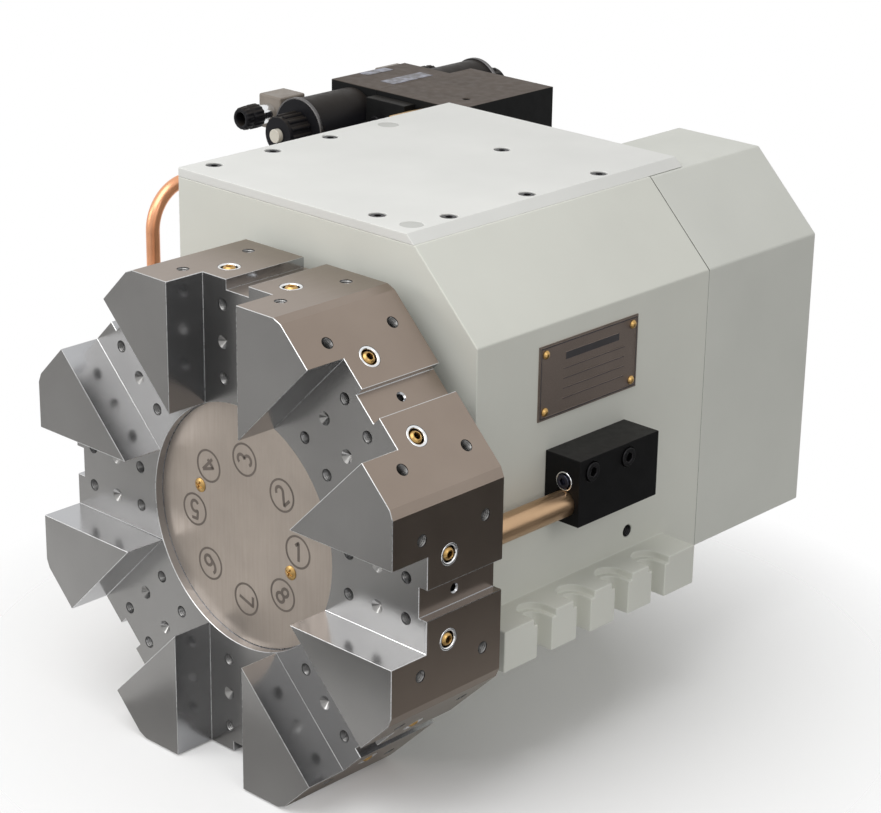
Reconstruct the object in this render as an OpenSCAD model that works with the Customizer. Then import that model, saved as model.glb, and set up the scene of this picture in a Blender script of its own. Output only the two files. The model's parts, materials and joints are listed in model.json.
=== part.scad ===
// Eight-station tool turret for a turning machine.
// The disc turns about an axis along Y. The base face lies at Z = 0, under that axis, and +X is the
// side of the coolant block. A hydraulic locking ring clamps the disc through a face coupling, and a
// servo motor indexes it through a train of gears.

/* [Tool disc] */
// Distance across the flats of the eight-sided disc
across_flats = 340; // [330:1:352]
// Thickness of the disc, from the front of its wedges to its rear face
disc_thick = 100; // [94:1:110]
// Width of each tool channel
channel_w = 66; // [62:1:70]
// Depth of each tool channel behind the wedge fronts
channel_depth = 31; // [26:1:34]
// Length cut off each side of a sharp corner of the disc
corner_cut = 3.8; // [1:0.1:7]
// Width of the key groove along each flat
groove_w = 21; // [17:0.5:24]
// Depth of the key groove
groove_depth = 7; // [5:0.5:9]
// Radius of the inner pair of holes in a channel floor
floor_hole_r = 101.5; // [99:0.5:104]
// Spacing of the floor holes outwards along the channel
floor_hole_pitch = 25.3; // [23:0.1:27]
// Spacing of the two rows of floor holes
floor_hole_gap = 28.2; // [25:0.1:32]
// Spacing across a flat of its tapped holes
flat_hole_gap = 92; // [88:1:98]
// Distance of the first flat holes behind the wedge fronts
flat_hole_y = 25.8; // [22:0.2:30]
// Spacing of the flat holes along the axis
flat_hole_pitch = 57.2; // [54:0.2:60]
// Drilled diameter of the tapped tool holes
tap_d = 8.5; // [6.8:0.1:10.2]
// Depth of the tapped tool holes
tap_depth = 15; // [12:0.5:17]
// Distance of the key screw hole behind the wedge fronts
key_hole_y = 63; // [58:1:75]
// Drilled diameter of the key screw hole
key_hole_d = 5; // [4:0.1:6.8]

/* [Coolant nozzles] */
// Spacing of the two nozzles on a flat
nozzle_gap = 58.4; // [56:0.2:62]
// Distance of the nozzles behind the wedge fronts
nozzle_y = 50.8; // [48:0.2:54]
// Outer diameter of a nozzle ring
nozzle_d = 15.5; // [14.5:0.1:17]
// Length of a nozzle ring
nozzle_len = 9; // [8.5:0.1:11]
// Diameter of a nozzle ball
nozzle_ball_d = 13; // [12:0.1:13.6]
// Depth of the ball's centre below the flat
nozzle_ball_sink = 3.5; // [3:0.1:4]
// Diameter of the jet drilled through a ball
nozzle_jet_d = 4.3; // [3:0.1:5.5]
// Diameter of the coolant drillings in the disc
coolant_d = 7; // [6:0.5:8]

/* [Disc cap] */
// Diameter of the cap and of its recess
cap_d = 172; // [160:1:172]
// Depth of the cap's face behind the channel floors
cap_set = 6.5; // [5:0.5:9]
// Thickness of the cap
cap_t = 5; // [4:0.5:7]
// Radius of the two cap screws from the axis
cap_screw_r = 47.5; // [44:0.5:48]
// Shift of the cap screws across
cap_shift_x = -3; // [-4:0.5:0]
// Shift of the cap screws in height
cap_shift_z = -3; // [-4:0.5:0]
// Thread diameter of the cap screws
cap_screw_d = 5; // [4:0.5:6]
// Head diameter of the cap screws
cap_head_d = 10; // [8:0.5:11]
// Head height of the cap screws
cap_head_h = 1.8; // [1.6:0.1:3]

/* [Spindle] */
// Height of the turning axis above the base face
centre_height = 80; // [80:0.5:84]
// Gap between the disc and the housing
disc_gap = 16; // [15:0.5:18]
// Diameter of the spindle flange
flange_d = 140; // [136:1:150]
// Diameter of the spigot that centres the disc
spigot_d = 70; // [60:1:76]
// Length of the spigot
spigot_len = 14; // [10:1:18]
// Diameter of the bolt circle of the disc bolts
bolt_circle_d = 112; // [106:1:118]
// Thread diameter of the disc bolts
disc_bolt_d = 10; // [8:1:10]
// Diameter of the dowel pins
dowel_d = 10; // [8:1:12]
// Diameter of the spindle in its front bearing
spindle_d = 60; // [58:1:60]
// Diameter of the spindle between the bearings
mid_d = 54; // [50:1:56]
// Diameter of the spindle under its gear
gear_seat_d = 50; // [46:1:50]
// Diameter of the spindle in its rear bearing
tail_d = 45; // [40:1:45]

/* [Face coupling] */
// Diameter of the housing bore that holds the coupling
bore_d = 132; // [130:1:134]
// Diameter where the fixed and rotating rings meet
split_d = 102; // [98:1:106]
// Inner diameter of the rotating ring
hub_d = 72; // [70:1:74]
// Length of the rings behind the housing's front face
ring_len = 18; // [16:1:20]
// Diameter of the fixed ring's flange
lip_d = 156; // [150:1:158]
// Thickness of the fixed ring's flange
lip_t = 5; // [4:0.5:6]
// Number of coupling teeth
tooth_count = 24; // [24]
// Height of the coupling teeth
tooth_h = 4; // [3:0.5:5]
// Width of the coupling slots
tooth_w = 5; // [4:0.1:5.5]
// Running gap around a coupling tooth
tooth_gap = 0.3; // [0.25:0.05:0.4]
// Gap between the teeth when the locking ring is back
lock_clear = 1.5; // [1:0.1:2]
// Length of the locking ring's body
lock_len = 20; // [16:1:24]
// Depth of the oil chamber behind the locking ring
chamber = 2.5; // [2:0.1:4]
// Thickness of a seal cord
seal_d = 3.4; // [3:0.1:3.6]
// Outer diameter of the guide sleeve
sleeve_d = 73.8; // [73.6:0.1:73.9]
// Wall of the guide sleeve
sleeve_wall = 4.5; // [3.5:0.1:5]

/* [Bearings] */
// Outer diameter of the front bearing
front_bearing_d = 95; // [90:1:100]
// Width of the front bearing
front_bearing_w = 18; // [16:1:20]
// Outer diameter of the rear bearing
rear_bearing_d = 85; // [80:1:90]
// Width of the rear bearing
rear_bearing_w = 19; // [16:1:20]
// Number of balls in a bearing
ball_count = 12; // [9:1:12]
// Flange diameter of the bearing retainer
retainer_d = 116; // [112:1:124]

/* [Gears] */
// Module of the gears
gear_m = 2.5; // [2.4:0.05:2.5]
// Teeth of the spindle gear
spindle_teeth = 48; // [48]
// Teeth of the small idler gear
idler_small_teeth = 16; // [16]
// Teeth of the large idler gear
idler_large_teeth = 40; // [40]
// Teeth of the motor pinion
pinion_teeth = 16; // [16]
// Width of the spindle gear and the small idler gear
slow_gear_w = 18; // [14:1:20]
// Width of the large idler gear and the motor pinion
fast_gear_w = 12; // [10:1:13]
// Thickness taken off each tooth for backlash
gear_thin = 0.3; // [0.25:0.05:0.4]
// Sideways offset of the motor from the turning axis
motor_x = 62; // [58:1:64]
// Diameter of the idler axle
axle_d = 20; // [16:1:22]

/* [Housing] */
// Distance of the left face from the axis
housing_left = 154; // [150:1:160]
// Distance of the right face from the axis
housing_right = 130.5; // [128:0.5:136]
// Length of the housing along the axis
housing_len = 239; // [236:1:250]
// Height of the housing below its top plate
housing_h = 273; // [268:1:280]
// Height on the right face where the shoulder starts
shoulder_z = 217.2; // [212:0.5:222]
// Wall of the housing
wall = 16; // [13:0.5:17]
// Thickness of the bearing wall behind the coupling
bearing_wall = 50; // [46:1:52]
// Rise of the underside behind the feet
heel_rise = 7; // [4:0.5:8]
// Length of the feet along the axis
foot_len = 200; // [196:1:210]
// Width of a foot beside the housing
foot_w = 29.5; // [28:0.5:34]
// Thickness of a foot
foot_t = 29.5; // [25:0.5:34]
// Spacing of the slots in a foot
slot_pitch = 40; // [36:1:42]
// Width of a slot
slot_w = 14.5; // [12:0.5:16]
// Width of the spot face around a slot
spot_w = 22; // [20:0.5:26]
// Depth of the spot face
spot_depth = 5; // [3:0.5:7]
// Distance of a slot's centre from the housing
slot_x = 18.5; // [16:0.5:20]
// Distance of the side hole behind the housing's middle
side_hole_y = 60.5; // [56:0.5:66]
// Height of the side hole
side_hole_z = 43; // [40:0.5:48]

/* [Top plate] */
// Thickness of the top plate
top_t = 6.5; // [6:0.5:9]
// Length of the top plate
top_len = 276; // [274:1:286]
// Distance of the top plate's right edge from the axis
top_right = 73.8; // [70:0.2:74]
// Diameter of the sunk screw heads' pockets
pocket_d = 12; // [11:0.5:13]
// Depth of the pockets
pocket_depth = 4.2; // [3.8:0.1:4.6]
// Diameter of the two plugs
plug_d = 15.5; // [14:0.5:17]

/* [Rear plate and cover] */
// Thickness of the rear plate
rear_t = 37; // [35:1:40]
// Length of the rear cover
cover_len = 127; // [124:1:140]
// Wall of the rear cover
cover_wall = 2.5; // [1.5:0.5:3.5]
// Side of the square motor
motor_side = 80; // [70:1:82]
// Length of the motor
motor_len = 78; // [70:1:80]
// Diameter of the motor shaft
motor_shaft_d = 19; // [16:1:20]
// Width across the cover posts
post_d = 12; // [10:0.5:13]

/* [Nameplate] */
// Length of the nameplate
plate_len = 101; // [90:1:110]
// Height of the nameplate
plate_h = 52; // [46:1:56]
// Thickness of the nameplate
plate_t = 1.2; // [0.8:0.1:2]
// Middle of the nameplate along the axis
plate_y = 10; // [4:1:16]
// Height of the nameplate's middle
plate_z = 177.6; // [172:0.2:182]
// Head diameter of the rivets
rivet_d = 6; // [5:0.5:7]

/* [Coolant block] */
// Length of the coolant block
block_len = 82; // [78:1:90]
// Height of the coolant block
block_h = 47.3; // [45:0.1:52]
// Width of the coolant block
block_w = 30.3; // [29:0.1:34]
// Middle of the coolant block along the axis
block_y = 10.2; // [6:0.2:14]
// Height of the block's underside above the axis
block_rise = 2.3; // [0:0.1:4]
// Distance of the coolant tube from the housing
tube_x = 17; // [16.5:0.1:17.5]
// Height of the coolant tube above the axis
tube_rise = 16.4; // [15:0.1:17]
// Diameter of the coolant tube
tube_d = 18.5; // [16:0.5:19]
// Bore of the coolant tube
tube_bore_d = 9; // [7:0.5:10]
// Length of the tube inside the block
tube_in = 26; // [22:1:30]
// Travel of the sprung tube
tube_travel = 4; // [3:0.5:4]
// Length of the spring behind the tube
spring_len = 24; // [22:1:28]
// Diameter of the spring wire
spring_wire = 1.6; // [1.2:0.1:1.8]
// Drilled diameter of the coolant inlet thread
inlet_d = 15; // [13:0.5:15.5]

/* [Hydraulics] */
// Diameter of the copper pipe
pipe_d = 10; // [8:0.5:10]
// Radius of the pipe's bends
pipe_bend_r = 32; // [28:1:36]
// Distance of the pipe from the axis
pipe_x = 190; // [189:0.5:194]
// Distance of the pipe's upright run behind the housing's front face
pipe_set = 6; // [5:0.5:10]
// Drop of the pipe's upper run below the manifold's top
pipe_drop = 15.6; // [14:0.2:17]
// Thickness of the valve bracket
bracket_t = 12; // [10:1:14]
// Length of the manifold block
manifold_len = 112; // [106:1:118]
// Width of the manifold block
manifold_w = 90; // [86:1:92]
// Height of the manifold block
manifold_h = 86; // [80:1:90]
// Drop of the manifold's top below the housing's top
manifold_drop = 1.4; // [0:0.2:3]
// Gap between the housing's left face and the manifold
manifold_gap = 1; // [0.6:0.1:2]
// Width of the valve body
valve_w = 52; // [50:1:56]
// Height of the valve body
valve_h = 54; // [52:1:58]
// Length of the valve body
valve_len = 86; // [82:1:90]
// Drop of the valve's axis below the manifold's top
valve_drop = 27.6; // [26:0.2:29]
// Diameter of a valve coil
coil_d = 50; // [46:0.5:50.5]
// Length of a valve coil
coil_len = 62; // [58:1:66]
// Diameter of the coil nuts
coil_nut_d = 32; // [28:0.5:36]
// Length of the coil nuts
coil_nut_len = 22; // [18:1:26]
// Diameter of the hand override buttons
button_d = 11; // [9:0.5:12]
// Travel of the valve spool and its buttons
spool_travel = 3; // [2:0.5:4]
// Diameter of the valve spool
spool_d = 12; // [10:0.5:13]
// Side of the square plug-in connector
plug_side = 28; // [26:0.5:30]
// Height of the plug-in connector
plug_h = 26; // [24:0.5:30]
// Drilled diameter of the manifold's port threads
port_d = 11.8; // [10:0.1:13]
// Depth of the manifold's port threads
port_depth = 16; // [14:1:20]

/* [Fits] */
// Clearance on the diameter around a screw's shank
screw_fit = 0.3; // [0.2:0.05:0.5]
// Clearance on the diameter of a seated or running fit
seat_fit = 0.1; // [0.06:0.02:0.16]
// Gap left between pieces that pass each other
pass_gap = 0.3; // [0.3:0.05:0.4]

/* [Hidden] */
$fn = 48;
cut = 1;
stations = 8;
step = 360 / stations;
flat_r = across_flats / 2;
flat_half = flat_r * tan(step / 2);

face_y = -foot_len / 2;
disc_back = face_y - disc_gap;
disc_front = disc_back - disc_thick;
floor_y = disc_front + channel_depth;
cap_y = floor_y + cap_set;
recess_y = cap_y + cap_t;
flange_back = face_y - lip_t - 1;
housing_back = face_y + housing_len;
rear_back = housing_back + rear_t;
cover_back = housing_back + cover_len;

// Disc bolts, set clear of the cap screws, and the drilled spots on the channel floors
bolt_count = 6;
bolt_turn = 15;
drill_depth = 3.2;
drill_tip = 0.4;

// Screws, as thread diameter, head diameter and head height
m5 = [5, 8.5, 5];
m6 = [6, 10, 6];
m6_low = [6, 10, 3.6];
m8 = [8, 13, 8];
m10 = [disc_bolt_d, disc_bolt_d * 1.6, disc_bolt_d];

// Face coupling, along the axis
tooth_root = face_y + ring_len;
tooth_tip = tooth_root + tooth_h;
lock_tip = tooth_tip + lock_clear;
lock_root = lock_tip + tooth_h;
lock_back = lock_root + lock_len;
bore_end = lock_back + chamber;
wall_end = bore_end + bearing_wall;
lip_screw_r = (lip_d + bore_d) / 4;
ring_screw_r = (split_d + hub_d) / 4;
seal_groove_w = seal_d + 0.4;
sleeve_front = tooth_tip + 1;

// Switches over the locking ring, seated on the floor of the upper hollow
switch_d = 12;
switch_x = 14;
switch_y = lock_back - 8;
switch_tip = centre_height + bore_d / 2;
switch_seat = switch_tip + wall + 2;
switch_len = 54;

// Bearings, along the axis
front_bearing_y = wall_end - front_bearing_w - 8;
rear_bearing_y = housing_back + 8;
tail_y = rear_bearing_y - 1;
retainer_t = 6;
retainer_screw_len = 20;
retainer_screw_r = (retainer_d + front_bearing_d) / 4;
spindle_end = rear_bearing_y + rear_bearing_w;

// Gear train, with the idler straight above the axis
idler_z = centre_height + gear_m * (spindle_teeth + idler_small_teeth) / 2;
pinion_reach = gear_m * (idler_large_teeth + pinion_teeth) / 2;
motor_z = idler_z + sqrt(pinion_reach * pinion_reach - motor_x * motor_x);
motor_dir = atan2(motor_z - idler_z, motor_x);
fast_gear_y = housing_back - 3 - fast_gear_w;
slow_gear_y = fast_gear_y - 2 - slow_gear_w;
axle_back = housing_back + 24;
collar_t = 5;
key_w = 10;
motor_flange_t = 10;

// Housing section: the shoulder is cut at 45 degrees
shoulder_sum = housing_right + shoulder_z;
window_left = housing_left - 26;
window_right = 44;
foot_left = -housing_left - foot_w;

// Top plate screws and plugs, as X and Y places beside the edges of the window
left_row = 12 - housing_left;
right_row = window_right + 14.5;
top_screw_places = [
    [left_row, -77], [left_row, -21], [left_row, 36],
    [right_row, -51], [right_row, 26], [right_row, 101.5],
    [right_row - 34.5, -82.5], [right_row - 90, 100.5]
];
top_plug_places = [[left_row + 4, 92.6], [right_row - 3.5, -82.3]];
top_window_y = [-70, 88];
top_screw_len = 16;
plug_len = 11;
rivet_len = 4;

// Coolant line
coolant_x = housing_right + tube_x;
coolant_z = centre_height + tube_rise;
tube_front = disc_back + pass_gap;
block_front = block_y - block_len / 2;
block_bottom = centre_height + block_rise;
block_right = housing_right + block_w;
tube_back = block_front + tube_in;
spring_back = tube_back + spring_len;
spring_turns = floor((spring_len - tube_travel) / (2 * spring_wire));
nozzle_at = disc_front + nozzle_y;
block_screws_y = [block_front + 13, block_front + 50];
block_screw_z = block_bottom + block_h - 10.3;
block_seal_d = 2;
block_seal_y = block_front + 7.5;
guide_sink = 4;
guide_screw_z = coolant_z + tube_d / 2 + m6[1] / 2 + 1.6;

// Hydraulics
bracket_back = rear_back + bracket_t;
manifold_right = -housing_left - manifold_gap;
manifold_left = manifold_right - manifold_w;
manifold_z = housing_h - manifold_drop;
manifold_bottom = manifold_z - manifold_h;
valve_z = manifold_z - valve_drop;
pipe_z = manifold_z - pipe_drop;
valve_x = manifold_left - valve_w / 2;
valve_front = bracket_back;
valve_back = valve_front + valve_len;
pipe_y = face_y + pipe_set;
port_y = bore_end + 28;
gallery_d = 5;
gallery_r = bore_d / 2 - 8;
fitting_hex = 19;
notch_w = fitting_hex / cos(30) + 3;
union_len = 20;
nut_len = 16;
bracket_places = [[-housing_left + 20, -22], [-housing_left + 20, -62], [-30, -22], [-30, -62]];
manifold_places = [[18, -22], [18, -62], [manifold_w - 14, -34], [manifold_w - 14, -72]];
bracket_set = 4;
elbow_half = fitting_hex / 2;
port_places = [30, 62];
port_drop = 30;
valve_mid = (valve_front + valve_back) / 2;
valve_screw_places = [for (i = [-20, 20], k = [-20, 20]) [valve_mid + i, valve_z + k]];
spool_front = valve_front + 4;
spool_back = valve_back - 4 - spool_travel;
spool_len = spool_back - spool_front;
coil_front = valve_front - coil_len;
nut_front = coil_front - coil_nut_len;
rod_d = 5;
button_proud = spool_travel + 1;
button_len = 8 + spool_travel;
plug_y = valve_front - 24;
plug_reach = coil_d / 2 + 21;
neck_len = 13;
gland_len = 19;
gland_d = 20;
gland_x = valve_x - plug_reach - plug_h / 2;
neck_y = plug_y - plug_side / 2 - neck_len;

// Rear cover posts, as X and Z places
post_places = [
    [12, 22], [housing_right - 13, 22],
    [12, housing_h - 14], [housing_right - 13, shoulder_z - 9]
];

// Places a shape so that its own +Z points the way the name says
module to_back(p) { translate(p) rotate([-90, 0, 0]) children(); }
module to_front(p) { translate(p) rotate([90, 0, 0]) children(); }
module to_right(p) { translate(p) rotate([0, 90, 0]) children(); }
module to_left(p) { translate(p) rotate([0, -90, 0]) children(); }

// A rod along the turning axis
module axial_rod(y0, y1, d, x = 0, z = centre_height) {
    to_back([x, y0, z]) cylinder(h = y1 - y0, d = d);
}

// A ring along the turning axis
module axial_ring(y0, y1, d_out, d_in) {
    difference() {
        axial_rod(y0, y1, d_out);
        axial_rod(y0 - cut, y1 + cut, d_in);
    }
}

// A flat shape in X and Z, carried along Y
module slab(y0, y1) {
    translate([0, y1, 0]) rotate([90, 0, 0]) linear_extrude(y1 - y0) children();
}

// A seal cord around the turning axis
module cord_ring(y, mid_r, d) {
    to_back([0, y, centre_height]) rotate_extrude() translate([mid_r, 0]) circle(d = d);
}

// Repeats a shape at each station, with local X outwards through the flat
module each_station(turn = 0, count = stations) {
    for (k = [0 : count - 1])
        translate([0, 0, centre_height]) rotate([0, -turn - k * 360 / count, 0]) children();
}

// A socket head screw seated at its origin, with its head on +Z
module socket_screw(kind, len) {
    difference() {
        union() {
            cylinder(h = kind[2], d = kind[1]);
            translate([0, 0, -len]) cylinder(h = len + 0.01, d = kind[0]);
        }
        translate([0, 0, kind[2] * 0.45]) cylinder(h = kind[2], d = kind[0] * 0.9, $fn = 6);
    }
}

// The hole for a socket screw's shank, and its head where the head is sunk
module screw_hole(kind, len, sink = 0) {
    translate([0, 0, -len]) cylinder(h = len + cut, d = kind[0] + screw_fit);
    if (sink > 0) cylinder(h = sink + cut, d = kind[1] + 1);
}

// A tapped hole along +Z below its origin, with a chamfer at the mouth where a fitting screws in
module tapped_hole(d, depth, mouth = 1) {
    translate([0, 0, -depth]) cylinder(h = depth + cut, d = d);
    if (mouth > 0) translate([0, 0, -mouth]) cylinder(h = mouth + cut, d1 = d, d2 = d + 2 * (mouth + cut));
}

// Outline of the disc, with its corners cut
module disc_outline() {
    polygon([
        for (k = [0 : stations - 1], s = [-1, 1])
            let (t = s * (flat_half - corner_cut), a = k * step)
            [flat_r * cos(a) - t * sin(a), flat_r * sin(a) + t * cos(a)]
    ]);
}

// The cone that a drill leaves, as wide as a tapped hole at the face
module drill_spot() {
    wide = tap_d + 1;
    translate([0, 0, -drill_depth])
        cylinder(h = drill_depth + cut, d1 = drill_tip, d2 = wide + (wide - drill_tip) * cut / drill_depth);
}

// Tool holes in the floor of one channel: the middle pair is only spotted with the drill
module floor_holes() {
    for (i = [0 : 2], s = [-1, 1])
        to_front([floor_hole_r + i * floor_hole_pitch, floor_y, s * floor_hole_gap / 2])
            if (i == 1) drill_spot();
            else tapped_hole(tap_d, tap_depth, 0);
}

// Key groove, tapped holes and nozzle seats of one flat
module flat_cuts() {
    translate([flat_r - groove_depth, disc_front - cut, -groove_w / 2])
        cube([groove_depth + cut, disc_thick + 2 * cut, groove_w]);
    to_right([flat_r - groove_depth, disc_front + key_hole_y, 0]) tapped_hole(key_hole_d, 10);
    for (s = [-1, 1]) {
        for (i = [0, 1])
            to_right([flat_r, disc_front + flat_hole_y + i * flat_hole_pitch, s * flat_hole_gap / 2])
                tapped_hole(tap_d, tap_depth, 0);
        to_right([flat_r - nozzle_len, nozzle_at, s * nozzle_gap / 2])
            cylinder(h = nozzle_len + cut, d = nozzle_d);
        to_right([coolant_x, nozzle_at, s * nozzle_gap / 2])
            cylinder(h = flat_r - coolant_x, d = coolant_d);
    }
}

// Coolant drillings of one station, fed from the rear face
module coolant_drillings() {
    axial_rod(nozzle_at, disc_back + cut, coolant_d, coolant_x, tube_rise);
    translate([coolant_x, nozzle_at, -nozzle_gap / 2]) cylinder(h = nozzle_gap, d = coolant_d);
}

module tool_disc() {
    color("#8d8a84") difference() {
        translate([0, 0, centre_height]) slab(disc_front, disc_back) disc_outline();
        each_station() translate([0, disc_front - cut, -channel_w / 2])
            cube([across_flats, channel_depth + cut, channel_w]);
        axial_rod(disc_front - cut, recess_y, cap_d);
        axial_rod(disc_back - spigot_len - pass_gap, disc_back + cut, spigot_d + seat_fit);
        each_station() {
            floor_holes();
            flat_cuts();
            coolant_drillings();
        }
        each_station(bolt_turn, bolt_count)
            to_front([bolt_circle_d / 2, recess_y + m10[2] + 1, 0])
                screw_hole(m10, disc_thick, m10[2] + 1);
        each_station(0, 2)
            axial_rod(disc_back - 16, disc_back + cut, dowel_d + seat_fit, bolt_circle_d / 2, 0);
        each_cap_screw()
            axial_rod(recess_y - cut, recess_y + 12.5, cap_screw_d + screw_fit, cap_screw_r, 0);
    }
}

module disc_cap() {
    color("#b5b1a8") difference() {
        axial_rod(cap_y, recess_y, cap_d - 2 * seat_fit);
        each_cap_screw()
            axial_rod(cap_y - cut, recess_y + cut, cap_screw_d + screw_fit, cap_screw_r, 0);
    }
}

// Places of the two cap screws, which the photo shows a little off the turning axis
module each_cap_screw() {
    translate([cap_shift_x, 0, cap_shift_z]) each_station(180 - step / 2, 2) children();
}

// A pan head screw with a cross recess
module cross_screw(len) {
    difference() {
        union() {
            intersection() {
                cylinder(h = cap_head_h, d = cap_head_d);
                translate([0, 0, cap_head_h - cap_head_d]) sphere(r = cap_head_d);
            }
            translate([0, 0, -len]) cylinder(h = len + 0.01, d = cap_screw_d);
        }
        for (a = [0, 90])
            rotate([0, 0, a]) translate([-cap_head_d * 0.3, -0.6, cap_head_h - 1.2])
                cube([cap_head_d * 0.6, 1.2, 2]);
    }
}

module cap_screws() {
    color("#b08d4a") each_cap_screw()
        to_front([cap_screw_r, cap_y, 0]) cross_screw(cap_t + 12);
}

module disc_bolts() {
    color("#2b2b2d") each_station(bolt_turn, bolt_count)
        to_front([bolt_circle_d / 2, recess_y + m10[2] + 1, 0])
            socket_screw(m10, flange_back - recess_y - m10[2] - 2);
}

module dowel_pins() {
    color("#c2c2c4") each_station(0, 2)
        axial_rod(disc_back - 15.5, flange_back, dowel_d, bolt_circle_d / 2, 0);
}

// Repeats a shape at every nozzle, with its own +Z out of the flat and its origin in the flat
module each_nozzle() {
    each_station() for (s = [-1, 1]) to_right([flat_r, nozzle_at, s * nozzle_gap / 2]) children();
}

module nozzle_rings() {
    color("#d4d4d0") each_nozzle() rotate_extrude() difference() {
        translate([0, -nozzle_len]) square([(nozzle_d - seat_fit) / 2, nozzle_len]);
        translate([0, -nozzle_ball_sink]) circle(d = nozzle_ball_d + seat_fit);
    }
}

module nozzle_balls() {
    color("#b99a52") each_nozzle() translate([0, 0, -nozzle_ball_sink]) rotate_extrude() intersection() {
        circle(d = nozzle_ball_d);
        translate([nozzle_jet_d / 2, -nozzle_ball_d]) square(2 * nozzle_ball_d);
    }
}

module spindle() {
    color("#9a9b9d") difference() {
        union() {
            axial_rod(disc_back - spigot_len, disc_back + cut, spigot_d);
            axial_rod(disc_back, flange_back, flange_d);
            axial_rod(disc_back + cut, wall_end, spindle_d);
            axial_rod(wall_end - cut, slow_gear_y, mid_d);
            axial_rod(slow_gear_y - cut, tail_y, gear_seat_d);
            axial_rod(tail_y - cut, spindle_end, tail_d);
        }
        each_station(bolt_turn, bolt_count)
            axial_rod(disc_back - cut, flange_back + cut, disc_bolt_d + screw_fit, bolt_circle_d / 2, 0);
        each_station(0, 2)
            axial_rod(disc_back - cut, flange_back + cut, dowel_d + seat_fit, bolt_circle_d / 2, 0);
        each_station(30, 6) to_front([ring_screw_r, disc_back + m5[2] + 0.5, 0])
            screw_hole(m5, lip_t + disc_gap, m5[2] + 0.5);
        translate([-key_w / 2, slow_gear_y, centre_height + gear_seat_d / 2 - 5])
            cube([key_w, slow_gear_w, 6]);
    }
}

// Straight slots or teeth across a coupling ring
module tooth_bars(y0, y1, w) {
    for (k = [0 : tooth_count / 2 - 1])
        translate([0, 0, centre_height]) rotate([0, k * 360 / tooth_count, 0])
            translate([-bore_d, y0, -w / 2]) cube([2 * bore_d, y1 - y0, w]);
}

module rotating_ring() {
    color("#85878a") difference() {
        axial_ring(flange_back, tooth_tip, split_d - 2 * pass_gap, hub_d);
        tooth_bars(tooth_root, tooth_tip + cut, tooth_w);
        each_station(30, 6)
            axial_rod(flange_back - cut, tooth_root - 3, m5[0] + screw_fit, ring_screw_r, 0);
    }
}

module ring_screws() {
    color("#2b2b2d") each_station(30, 6)
        to_front([ring_screw_r, disc_back + m5[2] + 0.5, 0]) socket_screw(m5, 20);
}

// Half the angle of a gear tooth at a radius, from the involute of its base circle
function involute(a) = tan(a) * 180 / PI - a;
function tooth_half(teeth, r) =
    let (pitch_r = gear_m * teeth / 2, base_r = pitch_r * cos(20))
    90 / teeth - gear_thin / 2 / pitch_r * 180 / PI
        + involute(20) - involute(acos(base_r / max(r, base_r)));

// Outline of a gear with a tooth centred on +X
module gear_outline(teeth) {
    pitch_r = gear_m * teeth / 2;
    root_r = pitch_r - 1.25 * gear_m;
    start_r = max(root_r, pitch_r * cos(20));
    tip_r = pitch_r + gear_m;
    flank = [root_r, each [for (i = [0 : 4]) start_r + (tip_r - start_r) * i / 4]];
    rising = root_r < start_r ? flank : [for (i = [1 : 5]) flank[i]];
    last = len(rising) - 1;
    polygon([
        for (k = [0 : teeth - 1]) each [
            for (i = [0 : last])
                let (r = rising[i], a = k * 360 / teeth - tooth_half(teeth, r))
                [r * cos(a), r * sin(a)],
            for (i = [0 : last])
                let (r = rising[last - i], a = k * 360 / teeth + tooth_half(teeth, r))
                [r * cos(a), r * sin(a)]
        ]
    ]);
}

// A gear in place, with a tooth centred on the angle turn
module gear(teeth, x, z, y0, y1, turn) {
    translate([x, 0, z]) slab(y0, y1) rotate(turn) gear_outline(teeth);
}

module spindle_gear() {
    color("#7d7f82") difference() {
        gear(spindle_teeth, 0, centre_height, slow_gear_y, slow_gear_y + slow_gear_w, 90);
        axial_rod(slow_gear_y - cut, housing_back, gear_seat_d + seat_fit);
        translate([-key_w / 2, slow_gear_y - cut, centre_height])
            cube([key_w, slow_gear_w + 2 * cut, gear_seat_d / 2 + 3.5]);
    }
}

module gear_key() {
    color("#b9b9bb")
        translate([-key_w / 2 + 0.05, slow_gear_y + 0.05, centre_height + gear_seat_d / 2 - 4.9])
            cube([key_w - 0.1, slow_gear_w - 0.1, 8]);
}

// Ball diameter and the radius of the balls' path for a bearing
function ball_d(d_in, d_out) = (d_out - d_in) * 0.3;
function ball_path(d_in, d_out) = (d_out + d_in) / 4;

module bearing_inner(y, d_in, d_out, w) {
    path = ball_path(d_in, d_out);
    difference() {
        axial_ring(y, y + w, 2 * path - ball_d(d_in, d_out) * 0.5, d_in + seat_fit);
        cord_ring(y + w / 2, path, ball_d(d_in, d_out) + 0.1);
    }
}

module bearing_outer(y, d_in, d_out, w) {
    path = ball_path(d_in, d_out);
    difference() {
        axial_ring(y, y + w, d_out, 2 * path + ball_d(d_in, d_out) * 0.5);
        cord_ring(y + w / 2, path, ball_d(d_in, d_out) + 0.2);
    }
}

module bearing_balls_of(y, d_in, d_out, w) {
    each_station(0, ball_count)
        translate([ball_path(d_in, d_out), y + w / 2, 0]) sphere(d = ball_d(d_in, d_out));
}

module bearing_inner_rings() {
    color("#bfc0c2") {
        bearing_inner(front_bearing_y, spindle_d, front_bearing_d, front_bearing_w);
        bearing_inner(rear_bearing_y, tail_d, rear_bearing_d, rear_bearing_w);
    }
}

module bearing_outer_rings() {
    color("#bfc0c2") {
        bearing_outer(front_bearing_y, spindle_d, front_bearing_d, front_bearing_w);
        bearing_outer(rear_bearing_y, tail_d, rear_bearing_d, rear_bearing_w);
    }
}

module bearing_balls() {
    color("#d5d6d8") {
        bearing_balls_of(front_bearing_y, spindle_d, front_bearing_d, front_bearing_w);
        bearing_balls_of(rear_bearing_y, tail_d, rear_bearing_d, rear_bearing_w);
    }
}

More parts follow.
